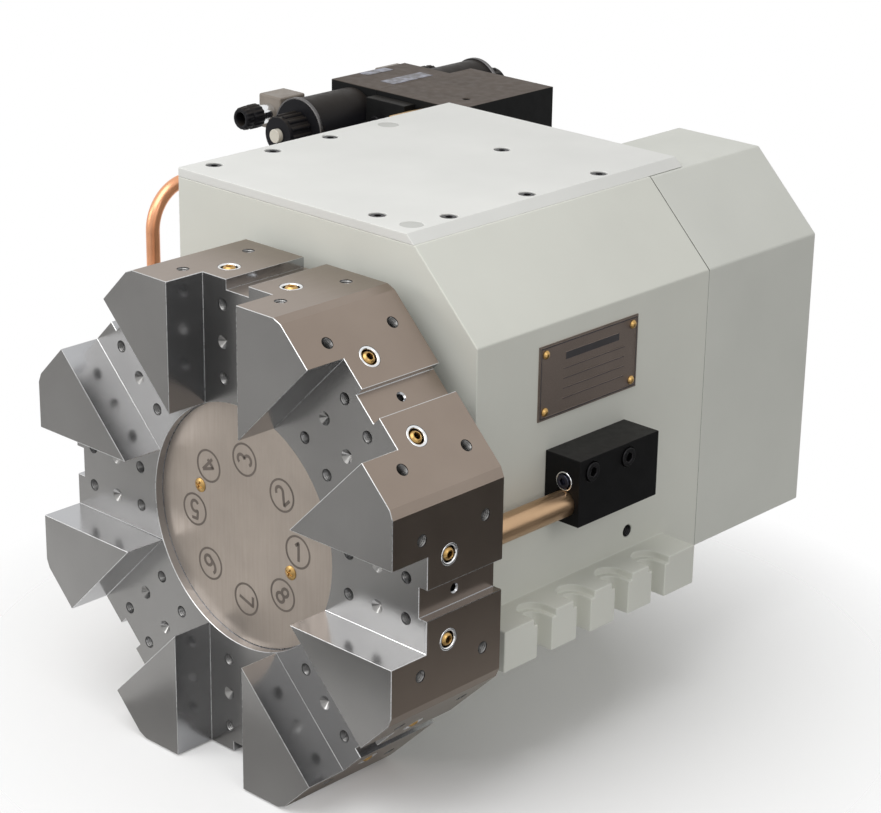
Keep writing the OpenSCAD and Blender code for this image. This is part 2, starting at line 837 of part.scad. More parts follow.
module fixed_ring() {
    color("#85878a") difference() {
        union() {
            axial_ring(face_y - lip_t, face_y, lip_d, split_d);
            axial_ring(face_y - cut, tooth_tip, bore_d - seat_fit, split_d);
        }
        tooth_bars(tooth_root, tooth_tip + cut, tooth_w);
        each_station(15, 12)
            to_front([lip_screw_r, face_y - lip_t + m5[2] - 1, 0]) screw_hole(m5, lip_t + cut, m5[2] - 1);
        cord_ring(face_y + ring_len / 2, (split_d + seal_d) / 2 - pass_gap, seal_groove_w);
    }
}

module fixed_ring_screws() {
    color("#2b2b2d") each_station(15, 12)
        to_front([lip_screw_r, face_y - lip_t + m5[2] - 1, 0])
            socket_screw([m5[0], m5[1], m5[2] - 1.4], 12);
}

module locking_ring() {
    color("#85878a") difference() {
        union() {
            axial_ring(lock_root, lock_back, bore_d - 2 * seat_fit, sleeve_d + seat_fit);
            intersection() {
                axial_ring(lock_tip, lock_root + cut, bore_d - 4 * pass_gap, sleeve_d + seat_fit);
                tooth_bars(lock_tip, lock_root + cut, tooth_w - 2 * tooth_gap);
            }
        }
        axial_ring(lock_back - 9, lock_back - 9 + seal_groove_w, bore_d + cut, bore_d - 2 * seal_d - 0.4);
        axial_ring(lock_back - 9, lock_back - 9 + seal_groove_w, sleeve_d + 2 * seal_d + 0.4, sleeve_d);
    }
}

module piston_seals() {
    color("#1d1d1f") {
        cord_ring(lock_back - 9 + seal_groove_w / 2, bore_d / 2 - seat_fit - seal_d / 2, seal_d);
        cord_ring(lock_back - 9 + seal_groove_w / 2, (sleeve_d + seat_fit + seal_d) / 2, seal_d);
    }
}

module guide_sleeve() {
    color("#a9aaac") axial_ring(sleeve_front, front_bearing_y, sleeve_d, sleeve_d - 2 * sleeve_wall);
}

module bearing_retainer() {
    color("#77797b") difference() {
        union() {
            axial_ring(front_bearing_y + front_bearing_w, wall_end + cut,
                front_bearing_d - 2 * seat_fit, spindle_d + 14);
            axial_ring(wall_end, wall_end + retainer_t, retainer_d, spindle_d + 14);
        }
        each_station(15, 6) to_back([retainer_screw_r, wall_end + retainer_t, 0])
            screw_hole(m5, retainer_screw_len);
    }
}

module retainer_screws() {
    color("#2b2b2d") each_station(15, 6)
        to_back([retainer_screw_r, wall_end + retainer_t, 0]) socket_screw(m5, retainer_screw_len);
}

// Two switches above the coupling bore that read the locking ring
module lock_switches() {
    color("#4a4c50") for (i = [-1, 1]) translate([i * switch_x, switch_y, 0]) {
        translate([0, 0, switch_tip]) cylinder(h = switch_len, d = switch_d);
        translate([0, 0, switch_seat]) cylinder(h = 5, d = switch_d + 6);
    }
}

// Housing section in X and Z, drawn in by a wall thickness
module housing_section(inset, low, top) {
    reach = shoulder_sum - inset * sqrt(2);
    polygon([
        [-housing_left + inset, low],
        [housing_right - inset, low],
        [housing_right - inset, reach - housing_right + inset],
        [reach - top, top],
        [-housing_left + inset, top]
    ]);
}

// An open slot in a foot, running out through its edge, with a spot face
module foot_slot(x, y, way) {
    for (part = [[slot_w, -cut, foot_t + cut], [spot_w, foot_t - spot_depth, foot_t + cut]])
        translate([x, y, part[1]]) {
            cylinder(h = part[2] - part[1], d = part[0]);
            translate([way > 0 ? 0 : -foot_w, -part[0] / 2, 0])
                cube([foot_w, part[0], part[2] - part[1]]);
        }
}

module feet() {
    difference() {
        translate([foot_left, face_y, 0])
            cube([housing_left + housing_right + 2 * foot_w, foot_len, foot_t]);
        for (i = [-1.5 : 1.5]) {
            foot_slot(housing_right + slot_x, i * slot_pitch, 1);
            foot_slot(-housing_left - slot_x, i * slot_pitch, -1);
        }
    }
}

module main_housing() {
    color("#e4e3d8") difference() {
        union() {
            slab(face_y, housing_back) housing_section(0, 0, housing_h);
            feet();
        }
        translate([-2 * housing_left, foot_len / 2, -cut])
            cube([4 * housing_left, housing_len, heel_rise + cut]);
        slab(wall_end, housing_back + cut) housing_section(wall, wall + 1, housing_h - wall + 1);
        intersection() {
            slab(face_y + wall, wall_end + cut) housing_section(wall, wall, housing_h - wall + 1);
            translate([-housing_left, face_y, switch_seat])
                cube([2 * housing_left, housing_len, housing_h]);
        }
        translate([-window_left, top_window_y[0], housing_h - wall])
            cube([window_left + window_right, top_window_y[1] - top_window_y[0], wall + cut]);
        axial_rod(face_y - cut, bore_end, bore_d);
        axial_rod(bore_end - cut, wall_end, sleeve_d + seat_fit);
        axial_rod(front_bearing_y, wall_end + cut, front_bearing_d + seat_fit);
        each_station(15, 12) axial_rod(face_y - cut, face_y + 13, m5[0] + screw_fit, lip_screw_r, 0);
        each_station(15, 6)
            axial_rod(wall_end - 16, wall_end + cut, m5[0] + screw_fit, retainer_screw_r, 0);
        for (i = [-1, 1]) translate([i * switch_x, switch_y, switch_tip - wall / 2])
            cylinder(h = 2 * wall, d = switch_d + seat_fit);
        for (p = top_screw_places)
            translate([p[0], p[1], housing_h - 15]) cylinder(h = 20, d = m6[0] + screw_fit);
        for (p = top_plug_places)
            translate([p[0], p[1], housing_h - plug_len - cut]) cylinder(h = 20, d = plug_d + seat_fit);
        for (p = rear_screws())
            axial_rod(housing_back - 15, housing_back + cut, m8[0] + screw_fit, p[0], p[1]);
        for (p = rivet_places()) to_right([housing_right, p[0], p[1]])
            translate([0, 0, -rivet_len - cut])
                cylinder(h = rivet_len + 2 * cut, d = rivet_d / 2 + screw_fit);
        for (y = block_screws_y)
            to_right([housing_right, y, block_screw_z]) screw_hole(m8, 14);
        to_right([housing_right, side_hole_y, side_hole_z]) tapped_hole(tap_d, wall - 3);
        to_left([-housing_left, port_y, centre_height]) tapped_hole(port_d, port_depth);
        to_left([-gallery_r, port_y, centre_height]) cylinder(h = housing_left - gallery_r, d = gallery_d);
        axial_rod(bore_end - cut, port_y + gallery_d / 2, gallery_d, -gallery_r);
    }
}

module top_plate() {
    color("#ecebe4") difference() {
        slab(face_y, face_y + top_len) polygon([
            [-housing_left, housing_h], [top_right, housing_h],
            [top_right - top_t, housing_h + top_t], [-housing_left, housing_h + top_t]
        ]);
        for (p = top_screw_places) translate([p[0], p[1], housing_h]) {
            translate([0, 0, -cut]) cylinder(h = top_t + 2 * cut, d = m6[0] + screw_fit);
            translate([0, 0, top_t - pocket_depth]) cylinder(h = top_t, d = pocket_d);
        }
        for (p = top_plug_places) translate([p[0], p[1], housing_h - cut])
            cylinder(h = top_t + 2 * cut, d = plug_d + seat_fit);
    }
}

module top_screws() {
    color("#26262a") for (p = top_screw_places)
        translate([p[0], p[1], housing_h + top_t - pocket_depth]) socket_screw(m6_low, top_screw_len);
}

module top_plugs() {
    color("#d5d6cf") for (p = top_plug_places)
        translate([p[0], p[1], housing_h - plug_len]) cylinder(h = plug_len + top_t - pass_gap, d = plug_d);
}

// Screw places of the rear plate, as X and Z, in the walls behind it
function rear_screws() = [
    for (z = [wall + 20, centre_height + 60, housing_h - wall - 26]) [-housing_left + wall / 2, z],
    for (z = [wall + 20, centre_height + 60]) [housing_right - wall + 5, z]
];

// Section of the rear plate: full height beside the cover, drawn in inside it
module rear_section() {
    inset = cover_wall + pass_gap;
    translate([-housing_left, heel_rise]) square([housing_left, housing_h - heel_rise]);
    intersection() {
        housing_section(inset, heel_rise + inset, housing_h - inset - pass_gap);
        translate([-cut, 0]) square([2 * housing_right, 2 * housing_h]);
    }
}

module rear_plate() {
    color("#d9d9d0") difference() {
        slab(housing_back, rear_back) rear_section();
        axial_rod(housing_back - cut, spindle_end + pass_gap, rear_bearing_d + seat_fit);
        axial_rod(housing_back - cut, axle_back, axle_d + seat_fit, 0, idler_z);
        axial_rod(housing_back - cut, rear_back + cut, motor_shaft_d + 6, motor_x, motor_z);
        for (p = rear_screws())
            to_back([p[0], rear_back - m8[2] - 1, p[1]]) screw_hole(m8, rear_t, m8[2] + 1);
        for (p = motor_screw_places())
            axial_rod(rear_back - 14, rear_back + cut, m6[0] + screw_fit, p[0], p[1]);
        for (p = post_places) axial_rod(rear_back - 12, rear_back + cut, m6[0] + screw_fit, p[0], p[1]);
        for (p = bracket_places)
            axial_rod(rear_back - 16, rear_back + cut, m8[0] + screw_fit, p[0], manifold_z + p[1]);
    }
}

// Screws of the rear plate and of the motor
module drive_screws() {
    color("#2b2b2d") {
        for (p = rear_screws())
            to_back([p[0], rear_back - m8[2] - 1, p[1]]) socket_screw(m8, rear_t - m8[2] - 1 + 12);
        for (p = motor_screw_places())
            to_back([p[0], rear_back + motor_flange_t, p[1]]) socket_screw(m6, motor_flange_t + 12);
    }
}

module idler_axle() {
    color("#b4b5b7") {
        axial_rod(slow_gear_y - collar_t, axle_back, axle_d, 0, idler_z);
        axial_rod(slow_gear_y - collar_t, slow_gear_y - pass_gap, axle_d + collar_t, 0, idler_z);
    }
}

module idler_gears() {
    color("#7d7f82") difference() {
        union() {
            gear(idler_small_teeth, 0, idler_z, slow_gear_y, fast_gear_y + 0.01,
                270 + 180 / idler_small_teeth);
            gear(idler_large_teeth, 0, idler_z, fast_gear_y, fast_gear_y + fast_gear_w, motor_dir);
        }
        axial_rod(slow_gear_y - cut, housing_back, axle_d + seat_fit, 0, idler_z);
    }
}

module motor_shaft() {
    color("#b4b5b7") axial_rod(fast_gear_y - 2, rear_back + 30, motor_shaft_d, motor_x, motor_z);
}

module motor_pinion() {
    color("#7d7f82") difference() {
        gear(pinion_teeth, motor_x, motor_z, fast_gear_y, fast_gear_y + fast_gear_w,
            motor_dir + 180 + 180 / pinion_teeth);
        axial_rod(fast_gear_y - cut, housing_back, motor_shaft_d + seat_fit, motor_x, motor_z);
    }
}

// Corners of the motor's flange
function motor_screw_places() = [
    for (i = [-1, 1], k = [-1, 1])
        [motor_x + i * (motor_side / 2 - 8), motor_z + k * (motor_side / 2 - 8)]
];

module servo_motor() {
    back = rear_back + motor_len;
    color("#26272b") difference() {
        union() {
            slab(rear_back, rear_back + motor_flange_t)
                translate([motor_x, motor_z]) square(motor_side, center = true);
            slab(rear_back + motor_flange_t - cut, back - 22) translate([motor_x, motor_z])
                intersection() {
                    square(motor_side - 3, center = true);
                    circle(d = motor_side * 1.2);
                }
            axial_rod(back - 23, back, motor_side * 0.75, motor_x, motor_z);
            translate([motor_x - 10, rear_back + 30, motor_z - motor_side / 2 - 14])
                cube([20, 20, 20]);
        }
        axial_rod(rear_back - cut, rear_back + 34, motor_shaft_d + 1, motor_x, motor_z);
        for (p = motor_screw_places())
            axial_rod(rear_back - cut, rear_back + motor_flange_t + cut, m6[0] + screw_fit, p[0], p[1]);
        for (p = motor_screw_places())
            axial_rod(rear_back + motor_flange_t, back, m6[1] + 2, p[0], p[1]);
    }
}

// A hood around the motor, open towards the housing
module rear_cover() {
    color("#dcdcd2") difference() {
        intersection() {
            slab(housing_back, cover_back) housing_section(0, heel_rise, housing_h - pass_gap);
            translate([pass_gap, 0, 0]) cube([2 * housing_right, 2 * cover_back, 2 * housing_h]);
        }
        intersection() {
            slab(housing_back - cut, cover_back - cover_wall)
                housing_section(cover_wall, heel_rise + cover_wall, housing_h - pass_gap - cover_wall);
            translate([pass_gap + cover_wall, 0, 0])
                cube([2 * housing_right, 2 * cover_back, 2 * housing_h]);
        }
        translate([-cut, housing_back - cut, -cut])
            cube([cover_wall + 2 * cut, rear_t + cut + pass_gap, 2 * housing_h]);
        for (p = post_places) axial_rod(cover_back - 10, cover_back + cut, m6[0] + screw_fit, p[0], p[1]);
    }
}

module cover_posts() {
    color("#9fa0a2") for (p = post_places) difference() {
        union() {
            axial_rod(rear_back, cover_back - cover_wall, post_d, p[0], p[1]);
            axial_rod(rear_back - 11, rear_back + cut, m6[0], p[0], p[1]);
        }
        axial_rod(cover_back - cover_wall - 14, cover_back, m6[0] + screw_fit, p[0], p[1]);
    }
}

module cover_screws() {
    color("#8f9092") for (p = post_places) to_back([p[0], cover_back, p[1]]) socket_screw(m6_low, 14);
}

// Rivet places of the nameplate, as Y and Z
function rivet_places() = [
    for (i = [-1, 1], k = [-1, 1]) [plate_y + i * (plate_len / 2 - 6), plate_z + k * (plate_h / 2 - 6)]
];

module nameplate() {
    color("#8a7d6a") difference() {
        translate([housing_right, plate_y - plate_len / 2, plate_z - plate_h / 2])
            cube([plate_t, plate_len, plate_h]);
        for (p = rivet_places())
            to_right([housing_right - cut, p[0], p[1]])
                cylinder(h = 2 * cut + plate_t, d = rivet_d / 2 + screw_fit);
    }
}

module nameplate_rivets() {
    dome_r = rivet_d * 0.6;
    color("#b99a52") for (p = rivet_places()) to_right([housing_right + plate_t, p[0], p[1]]) {
        intersection() {
            cylinder(h = rivet_d, d = rivet_d);
            translate([0, 0, rivet_d * 0.35 - dome_r]) sphere(r = dome_r);
        }
        translate([0, 0, -rivet_len - plate_t]) cylinder(h = rivet_len + plate_t + 0.1, d = rivet_d / 2);
    }
}

module coolant_block() {
    color("#232326") difference() {
        translate([housing_right, block_front, block_bottom]) cube([block_w, block_len, block_h]);
        axial_rod(block_front - cut, spring_back, tube_d + seat_fit, coolant_x, coolant_z);
        axial_rod(spring_back - cut, block_front + block_len, tube_bore_d + 2, coolant_x, coolant_z);
        to_back([coolant_x, block_front + block_len, coolant_z]) tapped_hole(inlet_d, inlet_len());
        axial_rod(block_seal_y - block_seal_d / 2 - seat_fit, block_seal_y + block_seal_d / 2 + seat_fit,
            tube_d + 2 * block_seal_d + 4 * seat_fit, coolant_x, coolant_z);
        for (y = block_screws_y) to_right([block_right - m8[2] + 1, y, block_screw_z])
            screw_hole(m8, block_w, m8[2]);
        to_front([coolant_x, block_front + guide_sink, guide_screw_z]) screw_hole(m6, 14, guide_sink);
    }
}

// Length of the coolant inlet's thread
function inlet_len() = block_front + block_len - spring_back - 6;

module coolant_screws() {
    color("#1f1f22") for (y = block_screws_y)
        to_right([block_right - m8[2] + 1, y, block_screw_z]) socket_screw(m8, block_w - m8[2] + 1 + 12);
}

module guide_screw() {
    color("#5c5a55") to_front([coolant_x, block_front + guide_sink, guide_screw_z]) socket_screw(m6, 13);
}

module coolant_tube() {
    color("#b5894a") difference() {
        union() {
            axial_rod(tube_front + 2, tube_back, tube_d - seat_fit, coolant_x, coolant_z);
            to_back([coolant_x, tube_front, coolant_z])
                cylinder(h = 2.01, d1 = tube_d - 3, d2 = tube_d - seat_fit);
        }
        axial_rod(tube_front - cut, tube_back + cut, tube_bore_d, coolant_x, coolant_z);
    }
}

// Seals that stay in the fixed ring and in the coolant block
module housing_seals() {
    color("#1d1d1f") {
        cord_ring(face_y + ring_len / 2, (split_d + seal_d) / 2 - pass_gap, seal_d - 2 * seat_fit);
        to_back([coolant_x, block_seal_y, coolant_z])
            rotate_extrude() translate([(tube_d + block_seal_d) / 2 + seat_fit, 0])
                circle(d = block_seal_d);
    }
}

// A helix swept as rings of points around the wire
module coil_spring(len, mid_d, wire, turns) {
    around = 8;
    rings = turns * 16;
    points = [
        for (i = [0 : rings], k = [0 : around - 1])
            let (a = 360 * turns * i / rings, b = 360 * k / around, r = mid_d / 2 + wire / 2 * cos(b))
            [r * cos(a), r * sin(a), wire / 2 + (len - wire) * i / rings + wire / 2 * sin(b)]
    ];
    sides = [
        for (i = [0 : rings - 1], k = [0 : around - 1])
            [i * around + k, i * around + (k + 1) % around,
                (i + 1) * around + (k + 1) % around, (i + 1) * around + k]
    ];
    ends = [[for (k = [around - 1 : -1 : 0]) k], [for (k = [0 : around - 1]) rings * around + k]];
    polyhedron(points, [for (f = concat(sides, ends)) [for (i = [len(f) - 1 : -1 : 0]) f[i]]]);
}

module coolant_spring() {
    color("#a4a5a7") to_back([coolant_x, tube_back + pass_gap, coolant_z])
        coil_spring(spring_len - 2 * pass_gap, tube_d - spring_wire - 1, spring_wire, spring_turns);
}

// A quarter bend of the pipe in the Y and Z plane, about a centre
module pipe_bend(y, z, start) {
    translate([-pipe_x, y, z]) rotate([0, 90, 0]) rotate([0, 0, start])
        rotate_extrude(angle = 90) translate([pipe_bend_r, 0]) circle(d = pipe_d);
}

module copper_pipe() {
    bend_y = pipe_y + pipe_bend_r;
    high_z = pipe_z - pipe_bend_r;
    low_z = centre_height + pipe_bend_r;
    color("#b06a3c") {
        axial_rod(bend_y, bracket_back - union_len, pipe_d, -pipe_x, pipe_z);
        pipe_bend(bend_y, high_z, 180);
        translate([-pipe_x, pipe_y, low_z]) cylinder(h = high_z - low_z, d = pipe_d);
        pipe_bend(bend_y, low_z, 270);
        axial_rod(bend_y, port_y - elbow_half, pipe_d, -pipe_x, centre_height);
    }
}

// A hexagon bar of a given width across flats
module hex_bar(h, flats = fitting_hex) {
    cylinder(h = h, d = flats / cos(30), $fn = 6);
}

// A nut around the pipe
module pipe_nut(y0, z) {
    difference() {
        to_back([-pipe_x, y0, z]) hex_bar(nut_len);
        axial_rod(y0 - cut, y0 + nut_len + cut, pipe_d + seat_fit, -pipe_x, z);
    }
}

// An elbow at the housing and a union at the manifold, each with its nut
module pipe_fittings() {
    stub = pipe_x - elbow_half - housing_left;
    color("#c3b27f") {
        translate([-pipe_x, port_y, centre_height]) cube(2 * elbow_half, center = true);
        to_right([-pipe_x + elbow_half, port_y, centre_height]) {
            cylinder(h = stub + port_depth - 2, d = port_d - screw_fit);
            translate([0, 0, stub - 8]) hex_bar(8);
        }
        pipe_nut(port_y - elbow_half - nut_len, centre_height);
        to_back([-pipe_x, bracket_back - union_len, pipe_z]) {
            hex_bar(union_len);
            cylinder(h = union_len + port_depth - 2, d = port_d - screw_fit);
        }
        pipe_nut(bracket_back - union_len - nut_len, pipe_z);
    }
}

module valve_bracket() {
    color("#3a3b3e") difference() {
        translate([manifold_left, rear_back, manifold_bottom + bracket_set])
            cube([-manifold_left - 20, bracket_t, manifold_h - 2 * bracket_set]);
        axial_rod(rear_back - cut, bracket_back + cut, notch_w, -pipe_x, pipe_z);
        translate([-pipe_x - notch_w / 2, rear_back - cut, pipe_z])
            cube([notch_w, bracket_t + 2 * cut, manifold_h]);
        for (p = bracket_places)
            axial_rod(rear_back - cut, bracket_back + cut, m8[0] + screw_fit, p[0], manifold_z + p[1]);
        for (p = manifold_places)
            axial_rod(rear_back - cut, bracket_back + cut, m8[0] + screw_fit,
                manifold_left + p[0], manifold_z + p[1]);
    }
}

// Screws of the bracket on the rear plate, and of the manifold on the bracket
module bracket_screws() {
    color("#2b2b2d") {
        for (p = bracket_places)
            to_back([p[0], bracket_back, manifold_z + p[1]]) socket_screw(m8, bracket_t + 14);
        for (p = manifold_places)
            to_front([manifold_left + p[0], rear_back, manifold_z + p[1]]) socket_screw(m8, bracket_t + 14);
    }
}

module manifold_block() {
    back = bracket_back + manifold_len;
    color("#2a2826") difference() {
        translate([manifold_left, bracket_back, manifold_bottom])
            cube([manifold_w, manifold_len, manifold_h]);
        to_front([-pipe_x, bracket_back, pipe_z]) tapped_hole(port_d, port_depth);
        for (p = manifold_places)
            to_front([manifold_left + p[0], bracket_back, manifold_z + p[1]]) screw_hole(m8, 16);
        for (x = port_places) to_back([manifold_left + x, back, manifold_z - port_drop])
            tapped_hole(port_d, port_depth);
        for (p = valve_screw_places) to_left([manifold_left, p[0], p[1]]) screw_hole(m5, 14);
        translate([manifold_right - 20, bracket_back + 30, manifold_z]) tapped_hole(key_hole_d, 10);
    }
}

module valve_body() {
    color("#2b2a29") difference() {
        translate([manifold_left - valve_w, valve_front, manifold_z - valve_h])
            cube([valve_w, valve_len, valve_h]);
        axial_rod(valve_front - cut, valve_back + cut, spool_d + seat_fit, valve_x, valve_z);
        for (p = valve_screw_places) to_left([manifold_left - valve_w + m5[2] + 1, p[0], p[1]])
            screw_hole(m5, valve_w, m5[2] + 1);
    }
}

module valve_screws() {
    color("#1f1f22") for (p = valve_screw_places)
        to_left([manifold_left - valve_w + m5[2] + 1, p[0], p[1]])
            socket_screw(m5, valve_w - m5[2] - 1 + 12);
}

// A spool with its lands
module valve_spool() {
    color("#b9babc") difference() {
        axial_rod(spool_front, spool_back, spool_d, valve_x, valve_z);
        for (i = [1 : 3]) let (y = spool_front + i * spool_len / 4) difference() {
            axial_rod(y - 4, y + 4, spool_d + cut, valve_x, valve_z);
            axial_rod(spool_front, spool_back, spool_d - 4, valve_x, valve_z);
        }
    }
}

// Mirrors a shape from the front end of the valve to its rear end as well
module both_ends() {
    children();
    translate([0, valve_front + valve_back, 0]) mirror([0, 1, 0]) children();
}

// Coils with their end plates and terminal blocks
module valve_coils() {
    color("#2c2b2b") both_ends() difference() {
        union() {
            axial_rod(coil_front, valve_front, coil_d, valve_x, valve_z);
            axial_rod(coil_front, coil_front + 3, coil_d + 2.5, valve_x, valve_z);
            translate([valve_x - plug_reach, plug_y - 10, valve_z - 10]) cube([plug_reach, 20, 20]);
        }
        axial_rod(coil_front - cut, valve_front + cut, rod_d + 1, valve_x, valve_z);
    }
}

// Ribbed nuts that hold the coils
module coil_nuts() {
    ribs = 14;
    color("#1e1f26") both_ends() difference() {
        union() {
            axial_rod(nut_front, coil_front, coil_nut_d - 3, valve_x, valve_z);
            for (k = [0 : ribs - 1]) let (a = k * 360 / ribs, r = coil_nut_d / 2 - 2)
                axial_rod(nut_front + 3, coil_front, 4, valve_x + r * cos(a), valve_z + r * sin(a));
        }
        axial_rod(nut_front - cut, coil_front + cut, rod_d + 1, valve_x, valve_z);
        axial_rod(nut_front - cut, nut_front + button_len, button_d + 2 * pass_gap, valve_x, valve_z);
    }
}

// A hand button on its push rod
module push_button(rod_end) {
    axial_rod(nut_front - button_proud, nut_front - button_proud + button_len - spool_travel, button_d,
        valve_x, valve_z);
    axial_rod(nut_front, rod_end, rod_d, valve_x, valve_z);
}

module front_button() {
    color("#e2ddca") push_button(spool_front - pass_gap);
}

// The rear button stands in by the travel when the front one stands out
module rear_button() {
    color("#e2ddca") translate([0, valve_front + valve_back - spool_travel, 0]) mirror([0, 1, 0])
        push_button(valve_front + valve_back - spool_back - spool_travel - pass_gap);
}

// Square plug-in connectors on the terminal blocks
module valve_plugs() {
    color("#8f8577") both_ends() translate([valve_x - plug_reach - plug_h, plug_y - plug_side / 2,
        valve_z - plug_side / 2]) cube([plug_h, plug_side, plug_side]);
}

// Metal necks between the plugs and their cable glands
module plug_necks() {
    color("#d8d8d4") both_ends()
        axial_rod(neck_y, neck_y + neck_len, gland_d - 4, gland_x, valve_z);
}

// Cable glands, open at their ends
module plug_glands() {
    color("#2a2a2a") both_ends() difference() {
        axial_rod(neck_y - gland_len, neck_y, gland_d, gland_x, valve_z);
        axial_rod(neck_y - gland_len - cut, neck_y - 6, gland_d - 9, gland_x, valve_z);
    }
}

tool_disc();
disc_cap();
cap_screws();
disc_bolts();
dowel_pins();
nozzle_rings();
nozzle_balls();
spindle();
rotating_ring();
ring_screws();
spindle_gear();
gear_key();
bearing_inner_rings();
bearing_balls();
fixed_ring();
fixed_ring_screws();
housing_seals();
locking_ring();
piston_seals();
guide_sleeve();
bearing_outer_rings();
bearing_retainer();
retainer_screws();
lock_switches();
main_housing();
top_plate();
top_screws();
top_plugs();
rear_plate();
drive_screws();
idler_axle();
idler_gears();
motor_shaft();
motor_pinion();
servo_motor();
rear_cover();
cover_posts();
cover_screws();
nameplate();
nameplate_rivets();
coolant_block();
coolant_screws();
guide_screw();
coolant_tube();
coolant_spring();
copper_pipe();
pipe_fittings();
valve_bracket();
bracket_screws();
manifold_block();
valve_body();
valve_screws();
valve_spool();
valve_coils();
coil_nuts();
front_button();
rear_button();
valve_plugs();
plug_necks();
plug_glands();
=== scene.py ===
# %% [markdown]
# A lathe tool turret, dressed for its portrait
#
# A tool turret carries the cutting tools of a lathe around a steel disc and turns the next one to the work.
# Its solid pieces come from a CAD model, already in place and at their real size in metres. This lesson
# gives every piece its finish, and adds the fine shapes that a camera sees and a machinist would not draw:
# screw threads, engraved numbers, broken edges and ribs.

# %% Load the frame
import json
import bpy
import numpy as np
from mathutils import Matrix, Vector


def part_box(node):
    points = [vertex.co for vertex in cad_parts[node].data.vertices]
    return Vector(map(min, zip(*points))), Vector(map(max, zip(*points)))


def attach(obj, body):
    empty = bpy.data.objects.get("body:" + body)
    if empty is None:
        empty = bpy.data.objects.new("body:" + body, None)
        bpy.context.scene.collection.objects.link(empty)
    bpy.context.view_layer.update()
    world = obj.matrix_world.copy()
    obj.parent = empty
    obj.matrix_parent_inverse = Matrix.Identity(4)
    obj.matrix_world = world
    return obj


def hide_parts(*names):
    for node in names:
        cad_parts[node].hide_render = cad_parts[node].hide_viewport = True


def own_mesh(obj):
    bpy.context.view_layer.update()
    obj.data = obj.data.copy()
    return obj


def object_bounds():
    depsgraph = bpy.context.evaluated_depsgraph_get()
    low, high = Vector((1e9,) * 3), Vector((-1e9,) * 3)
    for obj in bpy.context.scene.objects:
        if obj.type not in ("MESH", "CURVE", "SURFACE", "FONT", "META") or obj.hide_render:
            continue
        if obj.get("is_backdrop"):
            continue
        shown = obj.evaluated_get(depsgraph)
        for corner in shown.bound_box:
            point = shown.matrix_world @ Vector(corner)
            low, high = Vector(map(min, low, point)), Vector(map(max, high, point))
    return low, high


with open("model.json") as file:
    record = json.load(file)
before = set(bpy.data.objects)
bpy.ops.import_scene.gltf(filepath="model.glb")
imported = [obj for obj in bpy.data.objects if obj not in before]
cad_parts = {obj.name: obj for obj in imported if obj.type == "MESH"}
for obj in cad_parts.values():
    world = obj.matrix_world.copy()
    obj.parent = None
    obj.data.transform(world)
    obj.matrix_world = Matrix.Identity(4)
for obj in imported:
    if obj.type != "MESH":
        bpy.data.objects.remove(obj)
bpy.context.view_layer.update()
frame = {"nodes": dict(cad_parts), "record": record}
nodes = frame["nodes"]
MM = 0.001
print("pieces from the CAD model:", len(nodes))

# %% [markdown]
# Measures that the fine shapes hang on
#
# The turning axis runs along Y. Most places below are read from the boxes of the CAD pieces, so a changed
# model carries those details along; a few, such as the side hole, the stickers and the hood's shoulder, are
# given in millimetres.

# %% Places on the disc
disc_low, disc_high = np.array(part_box("tool_disc"))
cap_low, cap_high = np.array(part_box("disc_cap"))
AXIS = np.array([0.0, 0.0, (cap_low[2] + cap_high[2]) / 2])
DISC_FRONT = disc_low[1]
CAP_FACE = cap_low[1]
FLAT_R = disc_high[0]
STATIONS = 8
STATION_ANGLES = np.arange(STATIONS) * 2 * np.pi / STATIONS
CHANNEL_DEPTH = 31 * MM
FLOOR_Y = DISC_FRONT + CHANNEL_DEPTH
print("turning axis height:", round(AXIS[2], 4), "flat radius:", round(FLAT_R, 4))

# %% [markdown]
# Grids of points
#
# Each new surface is a function of two parameters, worked out on a whole grid at once. A grid becomes faces
# by joining each point to its neighbours, and a grid that closes on itself joins its last column to its
# first. Several grids can go into one mesh.

# %% Grid helpers
SEAM_GAP = 0.001 * MM


def grid_faces(rows, cols, wrap=False, start=0):
    """Four-sided faces between neighbouring points of a rows by cols grid; wrap joins the last column to
    the first."""
    index = np.arange(rows * cols).reshape(rows, cols) + start
    if wrap:
        index = np.hstack([index, index[:, :1]])
    corners = [index[:-1, :-1], index[:-1, 1:], index[1:, 1:], index[1:, :-1]]
    return np.stack(corners, axis=-1).reshape(-1, 4)


def piece_from_grids(name, grids, finish, body, wrap=False, smooth=True):
    """One object from a list of (rows, cols, 3) grids of points, riding on a body."""
    points, faces, start = [], [], 0
    for grid in grids:
        rows, cols = grid.shape[:2]
        points.append(grid.reshape(-1, 3))
        faces.append(grid_faces(rows, cols, wrap, start))
        start += rows * cols
    mesh = bpy.data.meshes.new(name)
    mesh.from_pydata(np.vstack(points).tolist(), [], np.vstack(faces).tolist())
    mesh.polygons.foreach_set("use_smooth", np.full(len(mesh.polygons), smooth))
    mesh.update()
    piece = bpy.data.objects.new(name, mesh)
    bpy.context.scene.collection.objects.link(piece)
    mesh.materials.append(finish)
    seams = piece.modifiers.new("join seams", "WELD")
    seams.merge_threshold = SEAM_GAP
    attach(piece, body)
    return piece


print("points closer than this are one, in metres:", SEAM_GAP)


# %% Turned shapes and directions
def turned(profile, origin, axis, segments):
    """A profile of (radius, height) pairs turned about an axis:
    point = origin + r cos(a) u + r sin(a) v + h axis."""
    profile = np.asarray(profile, float)
    axis = np.asarray(axis, float) / np.linalg.norm(axis)
    helper = np.array([0.0, 1.0, 0.0]) if abs(axis[1]) < 0.9 else np.array([1.0, 0.0, 0.0])
    u = np.cross(helper, axis)
    u /= np.linalg.norm(u)
    v = np.cross(axis, u)
    a = np.arange(segments) * 2 * np.pi / segments
    spoke = np.cos(a)[:, None] * u + np.sin(a)[:, None] * v
    return np.asarray(origin) + profile[:, :1, None] * spoke[None] + profile[:, 1:, None] * axis


